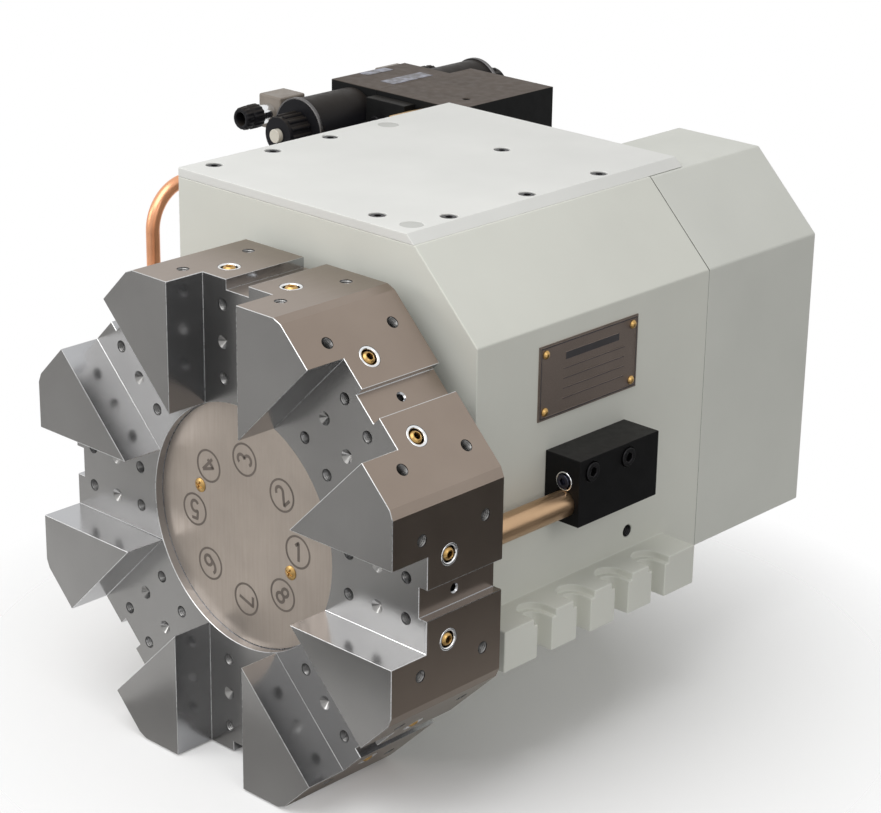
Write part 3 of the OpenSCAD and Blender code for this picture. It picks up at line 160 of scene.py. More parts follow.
def closed(profile):
    """A profile that ends where it began, so that the turned shape is a closed ring."""
    return np.vstack([profile, profile[:1]])


def radial(angle):
    """The outward direction of a station: (cos a, 0, sin a), with the angle from +X towards +Z."""
    return np.array([np.cos(angle), 0.0, np.sin(angle)])


def sideways(angle):
    """The direction across a station's flat, a quarter turn on from the outward one."""
    return np.array([-np.sin(angle), 0.0, np.cos(angle)])


print("outward directions:", [radial(angle).round(2).tolist() for angle in STATION_ANGLES[:2]], "and on")

# %% [markdown]
# Building finishes from nodes
#
# A finish is more than a colour. Each one below starts from the same small kit: a noise that varies the
# colour, a noise that varies the gloss and a bump that breaks up the reflections. All of them read Object
# coordinates, so the pattern stays on the piece when it moves.

# %% Node kit
class Finish:
    """A material with its main shader, and short calls that add texture nodes to it."""

    def __init__(self, name, color, metallic=0.0, roughness=0.5):
        self.material = bpy.data.materials.new(name)
        self.material.use_nodes = True
        self.tree = self.material.node_tree
        self.shader = self.tree.nodes["Principled BSDF"]
        self.shader.inputs["Base Color"].default_value = (*color, 1)
        self.shader.inputs["Metallic"].default_value = metallic
        self.shader.inputs["Roughness"].default_value = roughness
        self.color = color
        self.place = self.add("ShaderNodeTexCoord").outputs["Object"]

    def add(self, kind, **settings):
        """A new node of a kind, with its settings."""
        node = self.tree.nodes.new(kind)
        for key, value in settings.items():
            setattr(node, key, value)
        return node

    def link(self, out, socket):
        """A wire from an output to an input."""
        self.tree.links.new(out, socket)

    def noise(self, scale, detail=3.0, stretch=(1, 1, 1)):
        """A noise between 0 and 1; scale is in waves a metre, and stretch makes it long one way."""
        mapping = self.add("ShaderNodeMapping")
        mapping.inputs["Scale"].default_value = stretch
        self.link(self.place, mapping.inputs["Vector"])
        node = self.add("ShaderNodeTexNoise")
        node.inputs["Scale"].default_value = scale
        node.inputs["Detail"].default_value = detail
        self.link(mapping.outputs["Vector"], node.inputs["Vector"])
        return node.outputs["Fac"]

    def ramp(self, value, stops):
        """Maps a value through colour stops of (place, colour)."""
        node = self.add("ShaderNodeValToRGB")
        while len(node.color_ramp.elements) < len(stops):
            node.color_ramp.elements.new(0.5)
        for element, (place, color) in zip(node.color_ramp.elements, stops):
            element.position = place
            element.color = (*color, 1)
        self.link(value, node.inputs["Fac"])
        return node.outputs["Color"]

    def spread(self, value, low, high, start=0.3, end=0.7):
        """Maps a value from start..end to low..high, in a straight line and held at both ends."""
        node = self.add("ShaderNodeMapRange")
        for key, number in (("From Min", start), ("From Max", end), ("To Min", low), ("To Max", high)):
            node.inputs[key].default_value = number
        self.link(value, node.inputs["Value"])
        return node.outputs["Result"]

    def mix(self, factor, a, b, kind="RGBA"):
        """A blend of two colours or numbers, a + factor (b - a); each is a value or another node's output."""
        node = self.add("ShaderNodeMix", data_type=kind)
        self.link(factor, node.inputs["Factor"])
        for name, value in (("A", a), ("B", b)):
            if isinstance(value, bpy.types.NodeSocket):
                self.link(value, node.inputs[name])
            else:
                node.inputs[name].default_value = value
        return node.outputs["Result"]

    def vary_color(self, value, dark, light):
        """Lets a noise darken and lighten the colour a little."""
        shades = [(place, tuple(min(c * shade, 1) for c in self.color))
                  for place, shade in ((0.3, dark), (0.7, light))]
        self.link(self.ramp(value, shades), self.shader.inputs["Base Color"])

    def vary_gloss(self, value, low, high):
        """Lets a noise move the roughness between two values."""
        self.link(self.spread(value, low, high), self.shader.inputs["Roughness"])

    def bump(self, value, depth, strength=0.4):
        """A bump of a depth in metres."""
        node = self.add("ShaderNodeBump")
        node.inputs["Strength"].default_value = strength
        node.inputs["Distance"].default_value = depth
        self.link(value, node.inputs["Height"])
        self.link(node.outputs["Normal"], self.shader.inputs["Normal"])


# %% [markdown]
# Paint, metal, plastic and oily black
#
# Four kinds of finish cover nearly the whole turret. Sprayed enamel has an even colour and a skin like orange
# peel. Worked metal keeps the marks of its tool, moulded plastic a matt grain, and blackened steel turns brown
# where it faces up, partly with dust and partly with a painted sheen of the light from above. Each is one
# function, so all pieces of a kind stay alike and only colours and gloss differ.

# %% Kinds of finish
def paint(name, color, dark=0.95, light=1.03):
    """Sprayed machine enamel: even colour, a soft sheen and the faint orange peel of the spray gun."""
    finish = Finish(name, color, 0.0, 0.4)
    finish.vary_color(finish.noise(9, 4), dark, light)
    finish.vary_gloss(finish.noise(30), 0.42, 0.54)
    finish.bump(finish.noise(420, 2), 0.00012, 0.22)
    finish.shader.inputs["Specular IOR Level"].default_value = 0.25
    return finish.material


def metal(name, color, roughness, grain=(1, 1, 1), scale=300, depth=0.00004, dark=0.88, light=1.1):
    """Worked metal: its tool marks are a noise drawn out along the direction of the cut."""
    finish = Finish(name, color, 1.0, roughness)
    finish.vary_color(finish.noise(26, 4), dark, light)
    finish.vary_gloss(finish.noise(scale, 3, grain), roughness * 0.8, roughness * 1.25)
    finish.bump(finish.noise(scale, 3, grain), depth)
    return finish.material


def moulded(name, color, roughness=0.5, dark=0.8, light=1.2):
    """Moulded plastic or rubber with a fine matt grain."""
    finish = Finish(name, color, 0.0, roughness)
    finish.vary_color(finish.noise(60, 3), dark, light)
    finish.vary_gloss(finish.noise(180), roughness * 0.85, roughness * 1.15)
    finish.bump(finish.noise(900, 2), 0.00006, 0.3)
    return finish.material


# Upward part of the normal where the brown of dust and painted sheen starts, and where it is full
DUST_AND_SHEEN_FROM, DUST_AND_SHEEN_FULL = 0.35, 0.95


def dust_and_sheen_black(name, color, dust_and_sheen, roughness):
    """Oily black metal or plastic, brown on the faces that look up, partly workshop dust and partly a painted
    sheen
    of the light from above: none below the first upward part of the normal, all of it from the second."""
    finish = Finish(name, color, 0.0, roughness)
    tilt = finish.add("ShaderNodeSeparateXYZ")
    finish.link(finish.add("ShaderNodeTexCoord").outputs["Normal"], tilt.inputs["Vector"])
    # The brown on upward faces is partly dust and partly painted sheen of the light from above.
    patches = finish.ramp(finish.noise(35, 4), [(0.3, tuple(c * 0.85 for c in dust_and_sheen)), (0.7, dust_and_sheen)])
    looks_up = finish.spread(tilt.outputs["Z"], 0, 1, DUST_AND_SHEEN_FROM, DUST_AND_SHEEN_FULL)
    coat = finish.mix(looks_up, (*color, 1), patches)
    finish.link(coat, finish.shader.inputs["Base Color"])
    finish.vary_gloss(finish.noise(140), roughness * 0.85, roughness * 1.15)
    finish.bump(finish.noise(700, 2), 0.00005, 0.25)
    finish.shader.inputs["Specular IOR Level"].default_value = 0.11
    return finish.material


# %% [markdown]
# The steel of the disc
#
# The disc is milled and then ground. Its flats, where the holders seat, are given a warm tint, and the walls of
# the channels a brighter tone: both are painted reflection, standing in for what those faces reflect. The wedge
# fronts and channel floors are a cooler grey. The shader tells the faces apart by how far their plane lies from
# the turning axis, which is the point's place dotted with its normal. The steel is a mirror that has been
# brushed, so its marks are kept fine and what it reflects does most of the work.

# %% Disc steel
# Each kind of face: its darker and its lighter tone, and its roughness; the warm flat tones and the bright wall
# tones are painted reflection
FRONT_TONES, FRONT_GLOSS = ((0.252, 0.247, 0.240), (0.290, 0.285, 0.277)), 0.25
FLAT_PAINTED_REFLECTION_TONES, FLAT_GLOSS = ((0.272, 0.221, 0.184), (0.306, 0.252, 0.211)), 0.29
WALL_PAINTED_REFLECTION_TONES, WALL_GLOSS = ((0.430, 0.434, 0.446), (0.480, 0.485, 0.497)), 0.19


def disc_steel():
    """Grey steel, with painted reflection that makes the flats warm and the channel walls bright, under
    drawn-out grinding marks.
    """
    finish = Finish("disc_steel", FRONT_TONES[1], 1.0, FRONT_GLOSS)
    coords = finish.add("ShaderNodeTexCoord")
    from_axis = finish.add("ShaderNodeVectorMath", operation="SUBTRACT")
    from_axis.inputs[1].default_value = AXIS
    finish.link(coords.outputs["Object"], from_axis.inputs[0])
    flat_normal = finish.add("ShaderNodeVectorMath", operation="MULTIPLY")
    flat_normal.inputs[1].default_value = (1, 0, 1)
    finish.link(coords.outputs["Normal"], flat_normal.inputs[0])
    reach = finish.add("ShaderNodeVectorMath", operation="DOT_PRODUCT")
    finish.link(from_axis.outputs["Vector"], reach.inputs[0])
    finish.link(flat_normal.outputs["Vector"], reach.inputs[1])
    along = finish.add("ShaderNodeSeparateXYZ")
    finish.link(coords.outputs["Normal"], along.inputs["Vector"])
    facing = finish.add("ShaderNodeMath", operation="ABSOLUTE")
    finish.link(along.outputs["Y"], facing.inputs[0])
    is_front = finish.spread(facing.outputs[0], 0, 1, 0.6, 0.8)
    is_flat = finish.spread(reach.outputs["Value"], 0, 1, FLAT_R * 0.9, FLAT_R * 0.94)

    blotch = finish.noise(16, 4)
    # The flat and wall tones are painted reflection.
    front, flat, wall_painted_reflection = (finish.ramp(blotch, [(0.3, dark), (0.7, light)])
                         for dark, light in (FRONT_TONES, FLAT_PAINTED_REFLECTION_TONES, WALL_PAINTED_REFLECTION_TONES))
    tone_with_painted_reflection = finish.mix(is_front, finish.mix(is_flat, wall_painted_reflection, flat), front)
    finish.link(tone_with_painted_reflection, finish.shader.inputs["Base Color"])
    side_gloss = finish.mix(is_flat, WALL_GLOSS, FLAT_GLOSS, "FLOAT")
    gloss = finish.mix(is_front, side_gloss, FRONT_GLOSS, "FLOAT")
    marks = finish.noise(900, 2, (1, 0.06, 0.06))
    uneven = finish.add("ShaderNodeMath", operation="ADD")
    finish.link(gloss, uneven.inputs[0])
    finish.link(finish.spread(marks, -0.010, 0.020), uneven.inputs[1])
    finish.link(uneven.outputs[0], finish.shader.inputs["Roughness"])
    finish.bump(marks, 0.00001, 0.10)
    return finish.material


# %% [markdown]
# The finish of every piece
#
# The colours were matched to the picture under this scene's own light. The first table is named for the
# material slots in the model's record, which most pieces follow. The second holds the few pieces that differ
# from their slot, such as the coolant tube, which is bronze.

# %% All the finishes
# Bright steel on the bevels of the disc and cap: a painted highlight along their edges.
STEEL_EDGE_PAINTED_HIGHLIGHT = metal("edge_painted_highlight", (0.62, 0.62, 0.62), 0.28)
FINISHES = {
    "housing_paint": paint("housing_paint", (0.725, 0.733, 0.674)),
    "cover_paint": paint("cover_paint", (0.690, 0.700, 0.652)),
    "top_paint": paint("top_paint", (0.775, 0.78, 0.755)),
    "disc_steel": disc_steel(),
    "cap_steel": metal("cap_steel", (0.405, 0.352, 0.306), 0.42, (1, 1, 0.05), 500, 0.00002, 0.93, 1.06),
    "brass": metal("brass", (0.50, 0.315, 0.115), 0.34, (1, 0.1, 1), 400),
    "bright_steel": metal("bright_steel", (0.82, 0.83, 0.84), 0.16),
    "black_screws": metal("black_screws", (0.035, 0.034, 0.036), 0.38),
    "plain_screws": metal("plain_screws", (0.40, 0.40, 0.41), 0.3),
    "inner_steel": metal("inner_steel", (0.45, 0.45, 0.46), 0.3, (1, 0.1, 1)),
    "bearing_steel": metal("bearing_steel", (0.66, 0.66, 0.67), 0.15),
    "seal_rubber": moulded("seal_rubber", (0.025, 0.025, 0.025), 0.6),
    "switch_body": metal("switch_body", (0.40, 0.40, 0.41), 0.3),
    "motor_black": paint("motor_black", (0.03, 0.03, 0.034)),
    "nameplate_metal": metal("nameplate_metal", (0.250, 0.205, 0.178), 0.5, (1, 1, 1), 1200, 0.000004,
                             0.95, 1.05),
    "black_oxide": dust_and_sheen_black("black_oxide", (0.0085, 0.0088, 0.0090), (0.105, 0.085, 0.071), 0.55),
    "copper": metal("copper", (0.74, 0.36, 0.20), 0.36, (1, 0.1, 0.1), 90, 0.00003, 0.82, 1.12),
    "coil_plastic": dust_and_sheen_black("coil_plastic", (0.0090, 0.0090, 0.0110), (0.024, 0.020, 0.017), 0.45),
    "button_cream": moulded("button_cream", (0.66, 0.63, 0.55), 0.4, 0.94, 1.05),
    "plug_grey": moulded("plug_grey", (0.235, 0.202, 0.170), 0.45, 0.9, 1.1),
}
OWN_FINISH = {
    "coolant_tube": metal("tube_bronze", (0.56, 0.375, 0.225), 0.36, (1, 0.04, 1), 500, 0.00003, 0.9, 1.06),
    "coolant_block": dust_and_sheen_black("block_black", (0.0060, 0.0060, 0.0063), (0.018, 0.0175, 0.017), 0.42),
    "valve_bracket": dust_and_sheen_black("bracket_black", (0.0085, 0.0088, 0.0090), (0.020, 0.0185, 0.0165), 0.5),
    "guide_screw": metal("blued_screw", (0.06, 0.062, 0.085), 0.3),
    "top_plugs": paint("plug_paint", (0.56, 0.565, 0.54)),
}
print("finishes:", len(FINISHES) + len(OWN_FINISH))

# %% [markdown]
# Dressing the CAD pieces
#
# A CAD mesh arrives as loose triangles with knife edges. Real edges are broken with a file or a chamfer, and
# catch the light. A Weld joins the triangles, a planar Decimate turns each flat into one face, and a Bevel
# rounds the edges. On the steel disc and its cap, only long edges are broken, in one step and with a second,
# bright finish that paints a highlight along them: a bevel around every small hole would crease the mirror
# flats. A small node group marks those edges, and another shades curved faces smooth and keeps the sharp edges.
# Last, Weighted Normal lets the large faces decide the shading, so flats stay flat beside their rounded edges.

# %% Node groups for edges and shading
def mesh_group(name):
    """An empty node group that takes a mesh and returns it, with its input and output sockets."""
    group = bpy.data.node_groups.new(name, "GeometryNodeTree")
    for way in ("INPUT", "OUTPUT"):
        group.interface.new_socket("Geometry", in_out=way, socket_type="NodeSocketGeometry")
    mesh_in = group.nodes.new("NodeGroupInput").outputs[0]
    mesh_out = group.nodes.new("NodeGroupOutput").inputs[0]
    return group, mesh_in, mesh_out


def above(group, value, limit):
    """A socket that is true where a value is greater than a limit."""
    compare = group.nodes.new("FunctionNodeCompare")
    compare.operation = "GREATER_THAN"
    compare.inputs["B"].default_value = limit
    group.links.new(value, compare.inputs["A"])
    return compare.outputs["Result"]


def sharp_edges(group, limit):
    """A socket that is true on edges whose faces turn by more than a limit in degrees."""
    angle = group.nodes.new("GeometryNodeInputMeshEdgeAngle")
    return above(group, angle.outputs["Unsigned Angle"], np.radians(limit))


def smooth_group(limit):
    """A node group that shades every face smooth and keeps edges sharper than a limit in degrees hard."""
    group, mesh_in, mesh_out = mesh_group(f"smooth_under_{limit}")
    forget = group.nodes.new("GeometryNodeRemoveAttribute")
    forget.inputs["Name"].default_value = "custom_normal"
    soft = group.nodes.new("GeometryNodeSetShadeSmooth")
    soft.domain = "FACE"
    hard = group.nodes.new("GeometryNodeSetShadeSmooth")
    hard.domain = "EDGE"
    hard.inputs["Shade Smooth"].default_value = False
    group.links.new(mesh_in, forget.inputs["Geometry"])
    group.links.new(forget.outputs["Geometry"], soft.inputs["Geometry"])
    group.links.new(soft.outputs["Geometry"], hard.inputs["Geometry"])
    group.links.new(sharp_edges(group, limit), hard.inputs["Selection"])
    group.links.new(hard.outputs["Geometry"], mesh_out)
    return group


def long_edge_group(shortest, limit):
    """A node group that marks for the Bevel each edge longer than a length and sharper than a limit in
    degrees."""
    group, mesh_in, mesh_out = mesh_group("mark_long_edges")
    ends = group.nodes.new("GeometryNodeInputMeshEdgeVertices")
    length = group.nodes.new("ShaderNodeVectorMath")
    length.operation = "DISTANCE"
    both = group.nodes.new("FunctionNodeBooleanMath")
    mark = group.nodes.new("GeometryNodeStoreNamedAttribute")
    mark.domain = "EDGE"
    mark.inputs["Name"].default_value = "bevel_weight_edge"
    group.links.new(ends.outputs["Position 1"], length.inputs[0])
    group.links.new(ends.outputs["Position 2"], length.inputs[1])
    group.links.new(above(group, length.outputs["Value"], shortest), both.inputs[0])
    group.links.new(sharp_edges(group, limit), both.inputs[1])
    group.links.new(both.outputs[0], mark.inputs["Value"])
    group.links.new(mesh_in, mark.inputs["Geometry"])
    group.links.new(mark.outputs["Geometry"], mesh_out)
    return group


# %% Dressing one piece
SMOOTH = smooth_group(34)
CRISP = smooth_group(18)
LONG_EDGES = long_edge_group(2 * MM, 30)
TRIANGLE_GAP = 0.002 * MM
FLAT_LIMIT, BEVEL_LIMIT = np.radians(0.6), np.radians(40)


def dress(node, finish, edge=None, width=0.0, steps=3):
    """Gives a CAD piece its finish, broken edges of a width in some steps, and smooth shading."""
    piece = nodes[node]
    piece.data.materials.clear()
    piece.data.materials.append(finish)
    weld = piece.modifiers.new("join triangles", "WELD")
    weld.merge_threshold = TRIANGLE_GAP
    if width and steps > 1:
        flats = piece.modifiers.new("one face a flat", "DECIMATE")
        flats.decimate_type = "DISSOLVE"
        flats.angle_limit = FLAT_LIMIT
    if width and steps == 1:
        marked = piece.modifiers.new("mark long edges", "NODES")
        marked.node_group = LONG_EDGES
    if width:
        bevel = piece.modifiers.new("broken edges", "BEVEL")
        bevel.width = width
        bevel.segments = steps
        bevel.limit_method = "ANGLE" if steps > 1 else "WEIGHT"
        bevel.angle_limit = BEVEL_LIMIT
        bevel.use_clamp_overlap = False
        if edge:
            piece.data.materials.append(edge)
            bevel.material = 1
    shade = piece.modifiers.new("smooth by angle", "NODES")
    shade.node_group = SMOOTH if steps > 1 else CRISP
    if width:
        even = piece.modifiers.new("flat faces stay flat", "WEIGHTED_NORMAL")
        even.keep_sharp = True


# %% Dressing them all
slot_of = {part["node"]: part["material_slot"] for part in frame["record"]["subparts"]}
# The finish of a piece's edges, their width and the steps that round them; the bright edge finish on the disc
# and cap paints a highlight
EDGES = {
    "tool_disc": (STEEL_EDGE_PAINTED_HIGHLIGHT, 0.36 * MM, 1), "disc_cap": (STEEL_EDGE_PAINTED_HIGHLIGHT, 0.4 * MM, 1),
    "main_housing": (None, 0.9 * MM), "rear_cover": (None, 1.2 * MM), "top_plate": (None, 0.6 * MM),
    "rear_plate": (None, 0.8 * MM), "coolant_block": (None, 0.7 * MM),
    "manifold_block": (None, 0.8 * MM), "valve_body": (None, 0.8 * MM), "valve_bracket": (None, 0.6 * MM),
    "valve_plugs": (None, 1.6 * MM), "valve_coils": (None, 0.6 * MM), "coil_nuts": (None, 0.3 * MM),
    "front_button": (None, 0.5 * MM), "rear_button": (None, 0.5 * MM), "plug_necks": (None, 0.5 * MM),
    "pipe_fittings": (None, 0.4 * MM), "guide_screw": (None, 0.3 * MM), "coolant_screws": (None, 0.4 * MM),
    "bracket_screws": (None, 0.4 * MM), "cover_screws": (None, 0.3 * MM), "top_screws": (None, 0.2 * MM),
    "servo_motor": (None, 0.5 * MM), "coolant_tube": (None, 0.3 * MM), "top_plugs": (None, 0.2 * MM),
    "cap_screws": (None, 0.15 * MM), "valve_screws": (None, 0.2 * MM),
}
for node in nodes:
    dress(node, OWN_FINISH.get(node, FINISHES[slot_of[node]]), *EDGES.get(node, ()))
print("pieces dressed:", len(nodes))

# %% [markdown]
# Screw threads in the tapped holes
#
# A tapped hole seen from the front is a stack of bright rings. The thread is a wall whose radius rises and
# falls with depth, so it is one profile turned about the hole. All the holes share it: two pairs in each
# channel floor and two pairs on each flat.

# %% Threads
HOLE_R = 4.25 * MM
THREAD_PITCH = 1.5 * MM
THREAD_DEPTH = 0.55 * MM
THREAD_TURNS = 8
THREAD_START = 0.7 * MM
THREAD_ROOT = 0.04 * MM
WALL_GAP = 0.01 * MM
THREAD_SEGMENTS = 20


def thread_profile(radius):
    """Radius against depth: a triangle wave of the pitch that stands inwards from the drilled wall, closed
    behind just short of it."""
    step = np.arange(2 * THREAD_TURNS + 1)
    inward = np.where(step % 2, THREAD_DEPTH, THREAD_ROOT)
    crests = np.stack([radius - inward, -THREAD_START - step * THREAD_PITCH / 2], axis=1)
    behind = np.array([(radius - WALL_GAP, crests[-1, 1]), (radius - WALL_GAP, crests[0, 1])])
    return closed(np.vstack([crests, behind]))


# Places of the holes: out from the axis and across on a channel floor, back and across on a flat
FLOOR_HOLES = [(r * MM, s * 14.1 * MM) for r in (101.5, 152.1) for s in (-1, 1)]
FLAT_HOLES = [(y * MM, s * 46 * MM) for y in (25.8, 83.0) for s in (-1, 1)]
tapped = thread_profile(HOLE_R)
threads = []
for a in STATION_ANGLES:
    for r, s in FLOOR_HOLES:
        mouth = AXIS + radial(a) * r + sideways(a) * s + [0, FLOOR_Y, 0]
        threads.append(turned(tapped, mouth, [0, -1, 0], THREAD_SEGMENTS))
    for y, s in FLAT_HOLES:
        mouth = AXIS + radial(a) * FLAT_R + sideways(a) * s + [0, DISC_FRONT + y, 0]
        threads.append(turned(tapped, mouth, radial(a), THREAD_SEGMENTS))
# The dark grey of the threads is painted shade: it stands in for the shade inside the holes.
thread_painted_shade = metal("thread_painted_shade", (0.21, 0.207, 0.203), 0.3)
hole_threads = piece_from_grids("hole_threads", threads, thread_painted_shade, "turning_disc", wrap=True,
                                smooth=False)
print("threaded holes:", len(threads))

# %% [markdown]
# Coolant nozzles
#
# Each flat has two nozzles: a bright ring pressed into the disc, and a brass ball in it that turns to aim the
# jet. Both are turned shapes. The ring has a coned mouth, which leaves a dark gap around the ball. A turned
# profile has to run the right way round for its faces to look outwards, so the ring's is reversed.

# %% Nozzles
NOZZLE_Y = DISC_FRONT + 50.8 * MM
NOZZLE_SIDE = 29.2 * MM
BALL_R = 5.3 * MM
BALL_SINK = 4.0 * MM
JET_R = 2.6 * MM
JET_BORE = JET_R * 0.92
JET_CHAMFER = 0.4 * MM
JET_END = 7 * MM
ring_profile = np.array([(6.15, -6.0), (6.15, -1.2), (5.55, -1.0), (5.6, -0.55), (6.3, 0.02), (7.3, 0.05),
                         (7.66, -0.2), (7.7, -6.0)]) * MM
ring_profile = closed(ring_profile[::-1])
lat = np.linspace(-0.6, np.arccos(JET_R / BALL_R), 14)
ball_profile = np.stack([BALL_R * np.cos(lat), BALL_R * np.sin(lat) - BALL_SINK], axis=1)
jet_mouth = ball_profile[-1, 1] - JET_CHAMFER
ball_profile = closed(np.vstack([ball_profile, [JET_BORE, jet_mouth], [JET_BORE, -JET_END]]))
rings, balls = [], []
for a in STATION_ANGLES:
    for s in (-1, 1):
        seat = AXIS + radial(a) * FLAT_R + sideways(a) * s * NOZZLE_SIDE + [0, NOZZLE_Y, 0]
        rings.append(turned(ring_profile, seat, radial(a), 40))
        balls.append(turned(ball_profile, seat, radial(a), 32))
nozzle_seats = piece_from_grids("nozzle_seats", rings, FINISHES["bright_steel"], "turning_disc", wrap=True)
nozzle_jets = piece_from_grids("nozzle_jets", balls, FINISHES["brass"], "turning_disc", wrap=True)
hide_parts("nozzle_rings")
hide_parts("nozzle_balls")
print("nozzles:", len(balls))

# %% [markdown]
# Station numbers on the cap
#
# The numbers one to eight are etched in the cap, each in a circle and turned with its station. The photo
# shows the ring of numbers a few millimetres off the turning axis, so it has its own centre. A stroke is a
# path with a width: the path is sampled, its sideways direction is found from its neighbours, and a thin
# ribbon is laid on the cap.

# %% Number strokes
def arc(cx, cy, rx, ry, start, end, steps=14):
    """Points on an ellipse arc, centre + (rx cos a, ry sin a), with angles in degrees."""
    a = np.radians(np.linspace(start, end, steps))
    return np.stack([cx + rx * np.cos(a), cy + ry * np.sin(a)], axis=1)


def line(*points):
    """Straight strokes from point to point."""
    return np.array(points, float)


# Strokes of each figure in a box one unit wide and two units high, centred at zero
FIGURES = {
    1: [line((-0.35, 0.6), (0.1, 1.0), (0.1, -1.0))],
    2: [np.vstack([arc(0, 0.48, 0.5, 0.5, 170, -35), line((-0.52, -0.98), (0.56, -0.98))])],
    3: [np.vstack([arc(-0.02, 0.5, 0.46, 0.48, 150, -80), arc(0, -0.48, 0.52, 0.5, 80, -155)])],
    4: [line((0.22, -1.0), (0.22, 1.0)), line((0.22, 1.0), (-0.55, -0.42), (0.58, -0.42))],
    5: [np.vstack([line((0.46, 0.98), (-0.36, 0.98), (-0.44, 0.12)),
                   arc(0, -0.36, 0.54, 0.6, 125, -150)])],
    6: [arc(0.18, 0.0, 0.68, 1.0, 75, 205), arc(0, -0.42, 0.52, 0.56, 180, 540)],
    7: [line((-0.52, 0.98), (0.54, 0.98), (-0.12, -1.0))],
    8: [arc(0, 0.5, 0.42, 0.48, -90, 270), arc(0, -0.48, 0.54, 0.5, 90, 450)],
}
FIGURE_SCALE = 6.6 * MM
STROKE = 2.2 * MM
RING_MID = 11.0 * MM
RING_STROKE = 1.5 * MM
NUMBER_R = 50.4 * MM
NUMBER_CENTRE = AXIS + np.array([-2.6, 0.0, -4.2]) * MM
PROUD = 0.05 * MM
LAYER = 0.03 * MM
ETCH = 0.04 * MM
STROKE_POINTS = 40
RING_POINTS = 65

print("strokes:", sum(len(strokes) for strokes in FIGURES.values()))


# %% Numbers laid on the cap
def ribbon(path, width):
    """A flat strip along a path: each point is moved half the width to both sides of its direction."""
    way = np.gradient(path, axis=0)
    way /= np.linalg.norm(way, axis=1, keepdims=True)
    side = np.stack([-way[:, 1], way[:, 0]], axis=1) * width / 2
    return np.stack([path - side, path + side], axis=1)


def dense(path, steps):
    """The same path with evenly spaced points, so that corners keep their width."""
    span = np.r_[0, np.cumsum(np.linalg.norm(np.diff(path, axis=0), axis=1))]
    at = np.linspace(0, span[-1], steps)
    return np.stack([np.interp(at, span, path[:, i]) for i in (0, 1)], axis=1)


def on_cap(strip, angle, layer=0):
    """Lays a strip of flat points on the cap's face, at a station and turned with it; a crossing stroke is
    a layer up."""
    flat = strip @ np.array([[np.cos(angle), np.sin(angle)], [-np.sin(angle), np.cos(angle)]])
    centre = NUMBER_CENTRE + radial(angle) * NUMBER_R
    y = np.full(flat.shape[:2], CAP_FACE - PROUD - layer * LAYER)
    return np.stack([centre[0] + flat[..., 0], y, centre[2] + flat[..., 1]], axis=-1)


marks = []
for number, a in enumerate(STATION_ANGLES, 1):
    for layer, path in enumerate(FIGURES[number]):
        marks.append(on_cap(ribbon(dense(path * FIGURE_SCALE, STROKE_POINTS), STROKE), a, layer))
    circle = arc(0, 0, RING_MID, RING_MID, 0, 360, RING_POINTS)
    marks.append(on_cap(ribbon(circle, RING_STROKE), a))
etch = moulded("etched_numbers", (0.142, 0.116, 0.098), 0.6, 0.85, 1.15)
station_numbers = piece_from_grids("station_numbers", marks, etch, "turning_disc", smooth=False)
thick = station_numbers.modifiers.new("etch depth", "SOLIDIFY")
thick.thickness = ETCH
print("number strokes:", len(marks))

# %% [markdown]
# Nameplate
#
# The plate says nothing: it is a brown etched sheet with a raised border, a head field and empty ruled lines,
# all rubbed with dark paint. It is a height map over a grid, whose lines come in close pairs where the height
# steps. The raised faces get the second finish, and Solidify gives the sheet its thickness.

# %% Nameplate surface
plate_low, plate_high = np.array(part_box("nameplate"))
plate_size = plate_high - plate_low
RELIEF = 0.25 * MM
WIDTH, HEIGHT = plate_size[1] / MM, plate_size[2] / MM
# In millimetres from the plate's edges
BORDER = (1.1, 2.1)
RULES, RULE_HALF, RULE_SPAN = (11, 18, 25, 32), 0.35, (24, WIDTH - 14)
HEAD, HEAD_HALF, HEAD_SPAN = 40.5, 2.6, (26, WIDTH - 20)
HEAD_RELIEF = RELIEF * 0.7
STEP_HALF = 0.06


def plate_relief(u, v):
    """Height of the plate: a border near the rim, a head field and ruled lines."""
    rim = np.minimum.reduce([u, WIDTH - u, v, HEIGHT - v])
    border = (rim > BORDER[0]) & (rim < BORDER[1])
    on_rule = np.any([abs(v - level) < RULE_HALF for level in RULES], axis=0)
    rules = on_rule & (u > RULE_SPAN[0]) & (u < RULE_SPAN[1])
    head = (abs(v - HEAD) < HEAD_HALF) & (u > HEAD_SPAN[0]) & (u < HEAD_SPAN[1])
    return np.where(border | rules, RELIEF, 0) + np.where(head, HEAD_RELIEF, 0)


def steps_at(size, edges):
    """Grid lines from 0 to a size, with a close pair of lines at each edge where the height steps."""
    edges = np.array([*BORDER, *(size - edge for edge in BORDER), *edges])
    return np.unique(np.r_[0, edges - STEP_HALF, edges + STEP_HALF, size])


levels = [level + side for level in RULES for side in (-RULE_HALF, RULE_HALF)]
u_lines = steps_at(WIDTH, [*RULE_SPAN, *HEAD_SPAN])
v_lines = steps_at(HEIGHT, [*levels, HEAD - HEAD_HALF, HEAD + HEAD_HALF])
u, v = np.meshgrid(u_lines, v_lines)
face_x = plate_high[0] - RELIEF + plate_relief(u, v)
face = np.stack([face_x, plate_low[1] + u * MM, plate_low[2] + v * MM], axis=-1)
plate_face = piece_from_grids("plate_face", [face], FINISHES["nameplate_metal"], "housing", smooth=False)
raised = plate_relief(u, v) > 0
raised = raised[:-1, :-1] & raised[:-1, 1:] & raised[1:, 1:] & raised[1:, :-1]
plate_lines = moulded("plate_lines", (0.034, 0.031, 0.034), 0.5, 0.85, 1.15)
plate_face.data.materials.append(plate_lines)
plate_face.data.polygons.foreach_set("material_index", raised.ravel().astype(int))
sheet = plate_face.modifiers.new("sheet thickness", "SOLIDIFY")
sheet.thickness = plate_size[0] - RELIEF
sheet.offset = -1
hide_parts("nameplate")
print("nameplate grid:", u.shape)

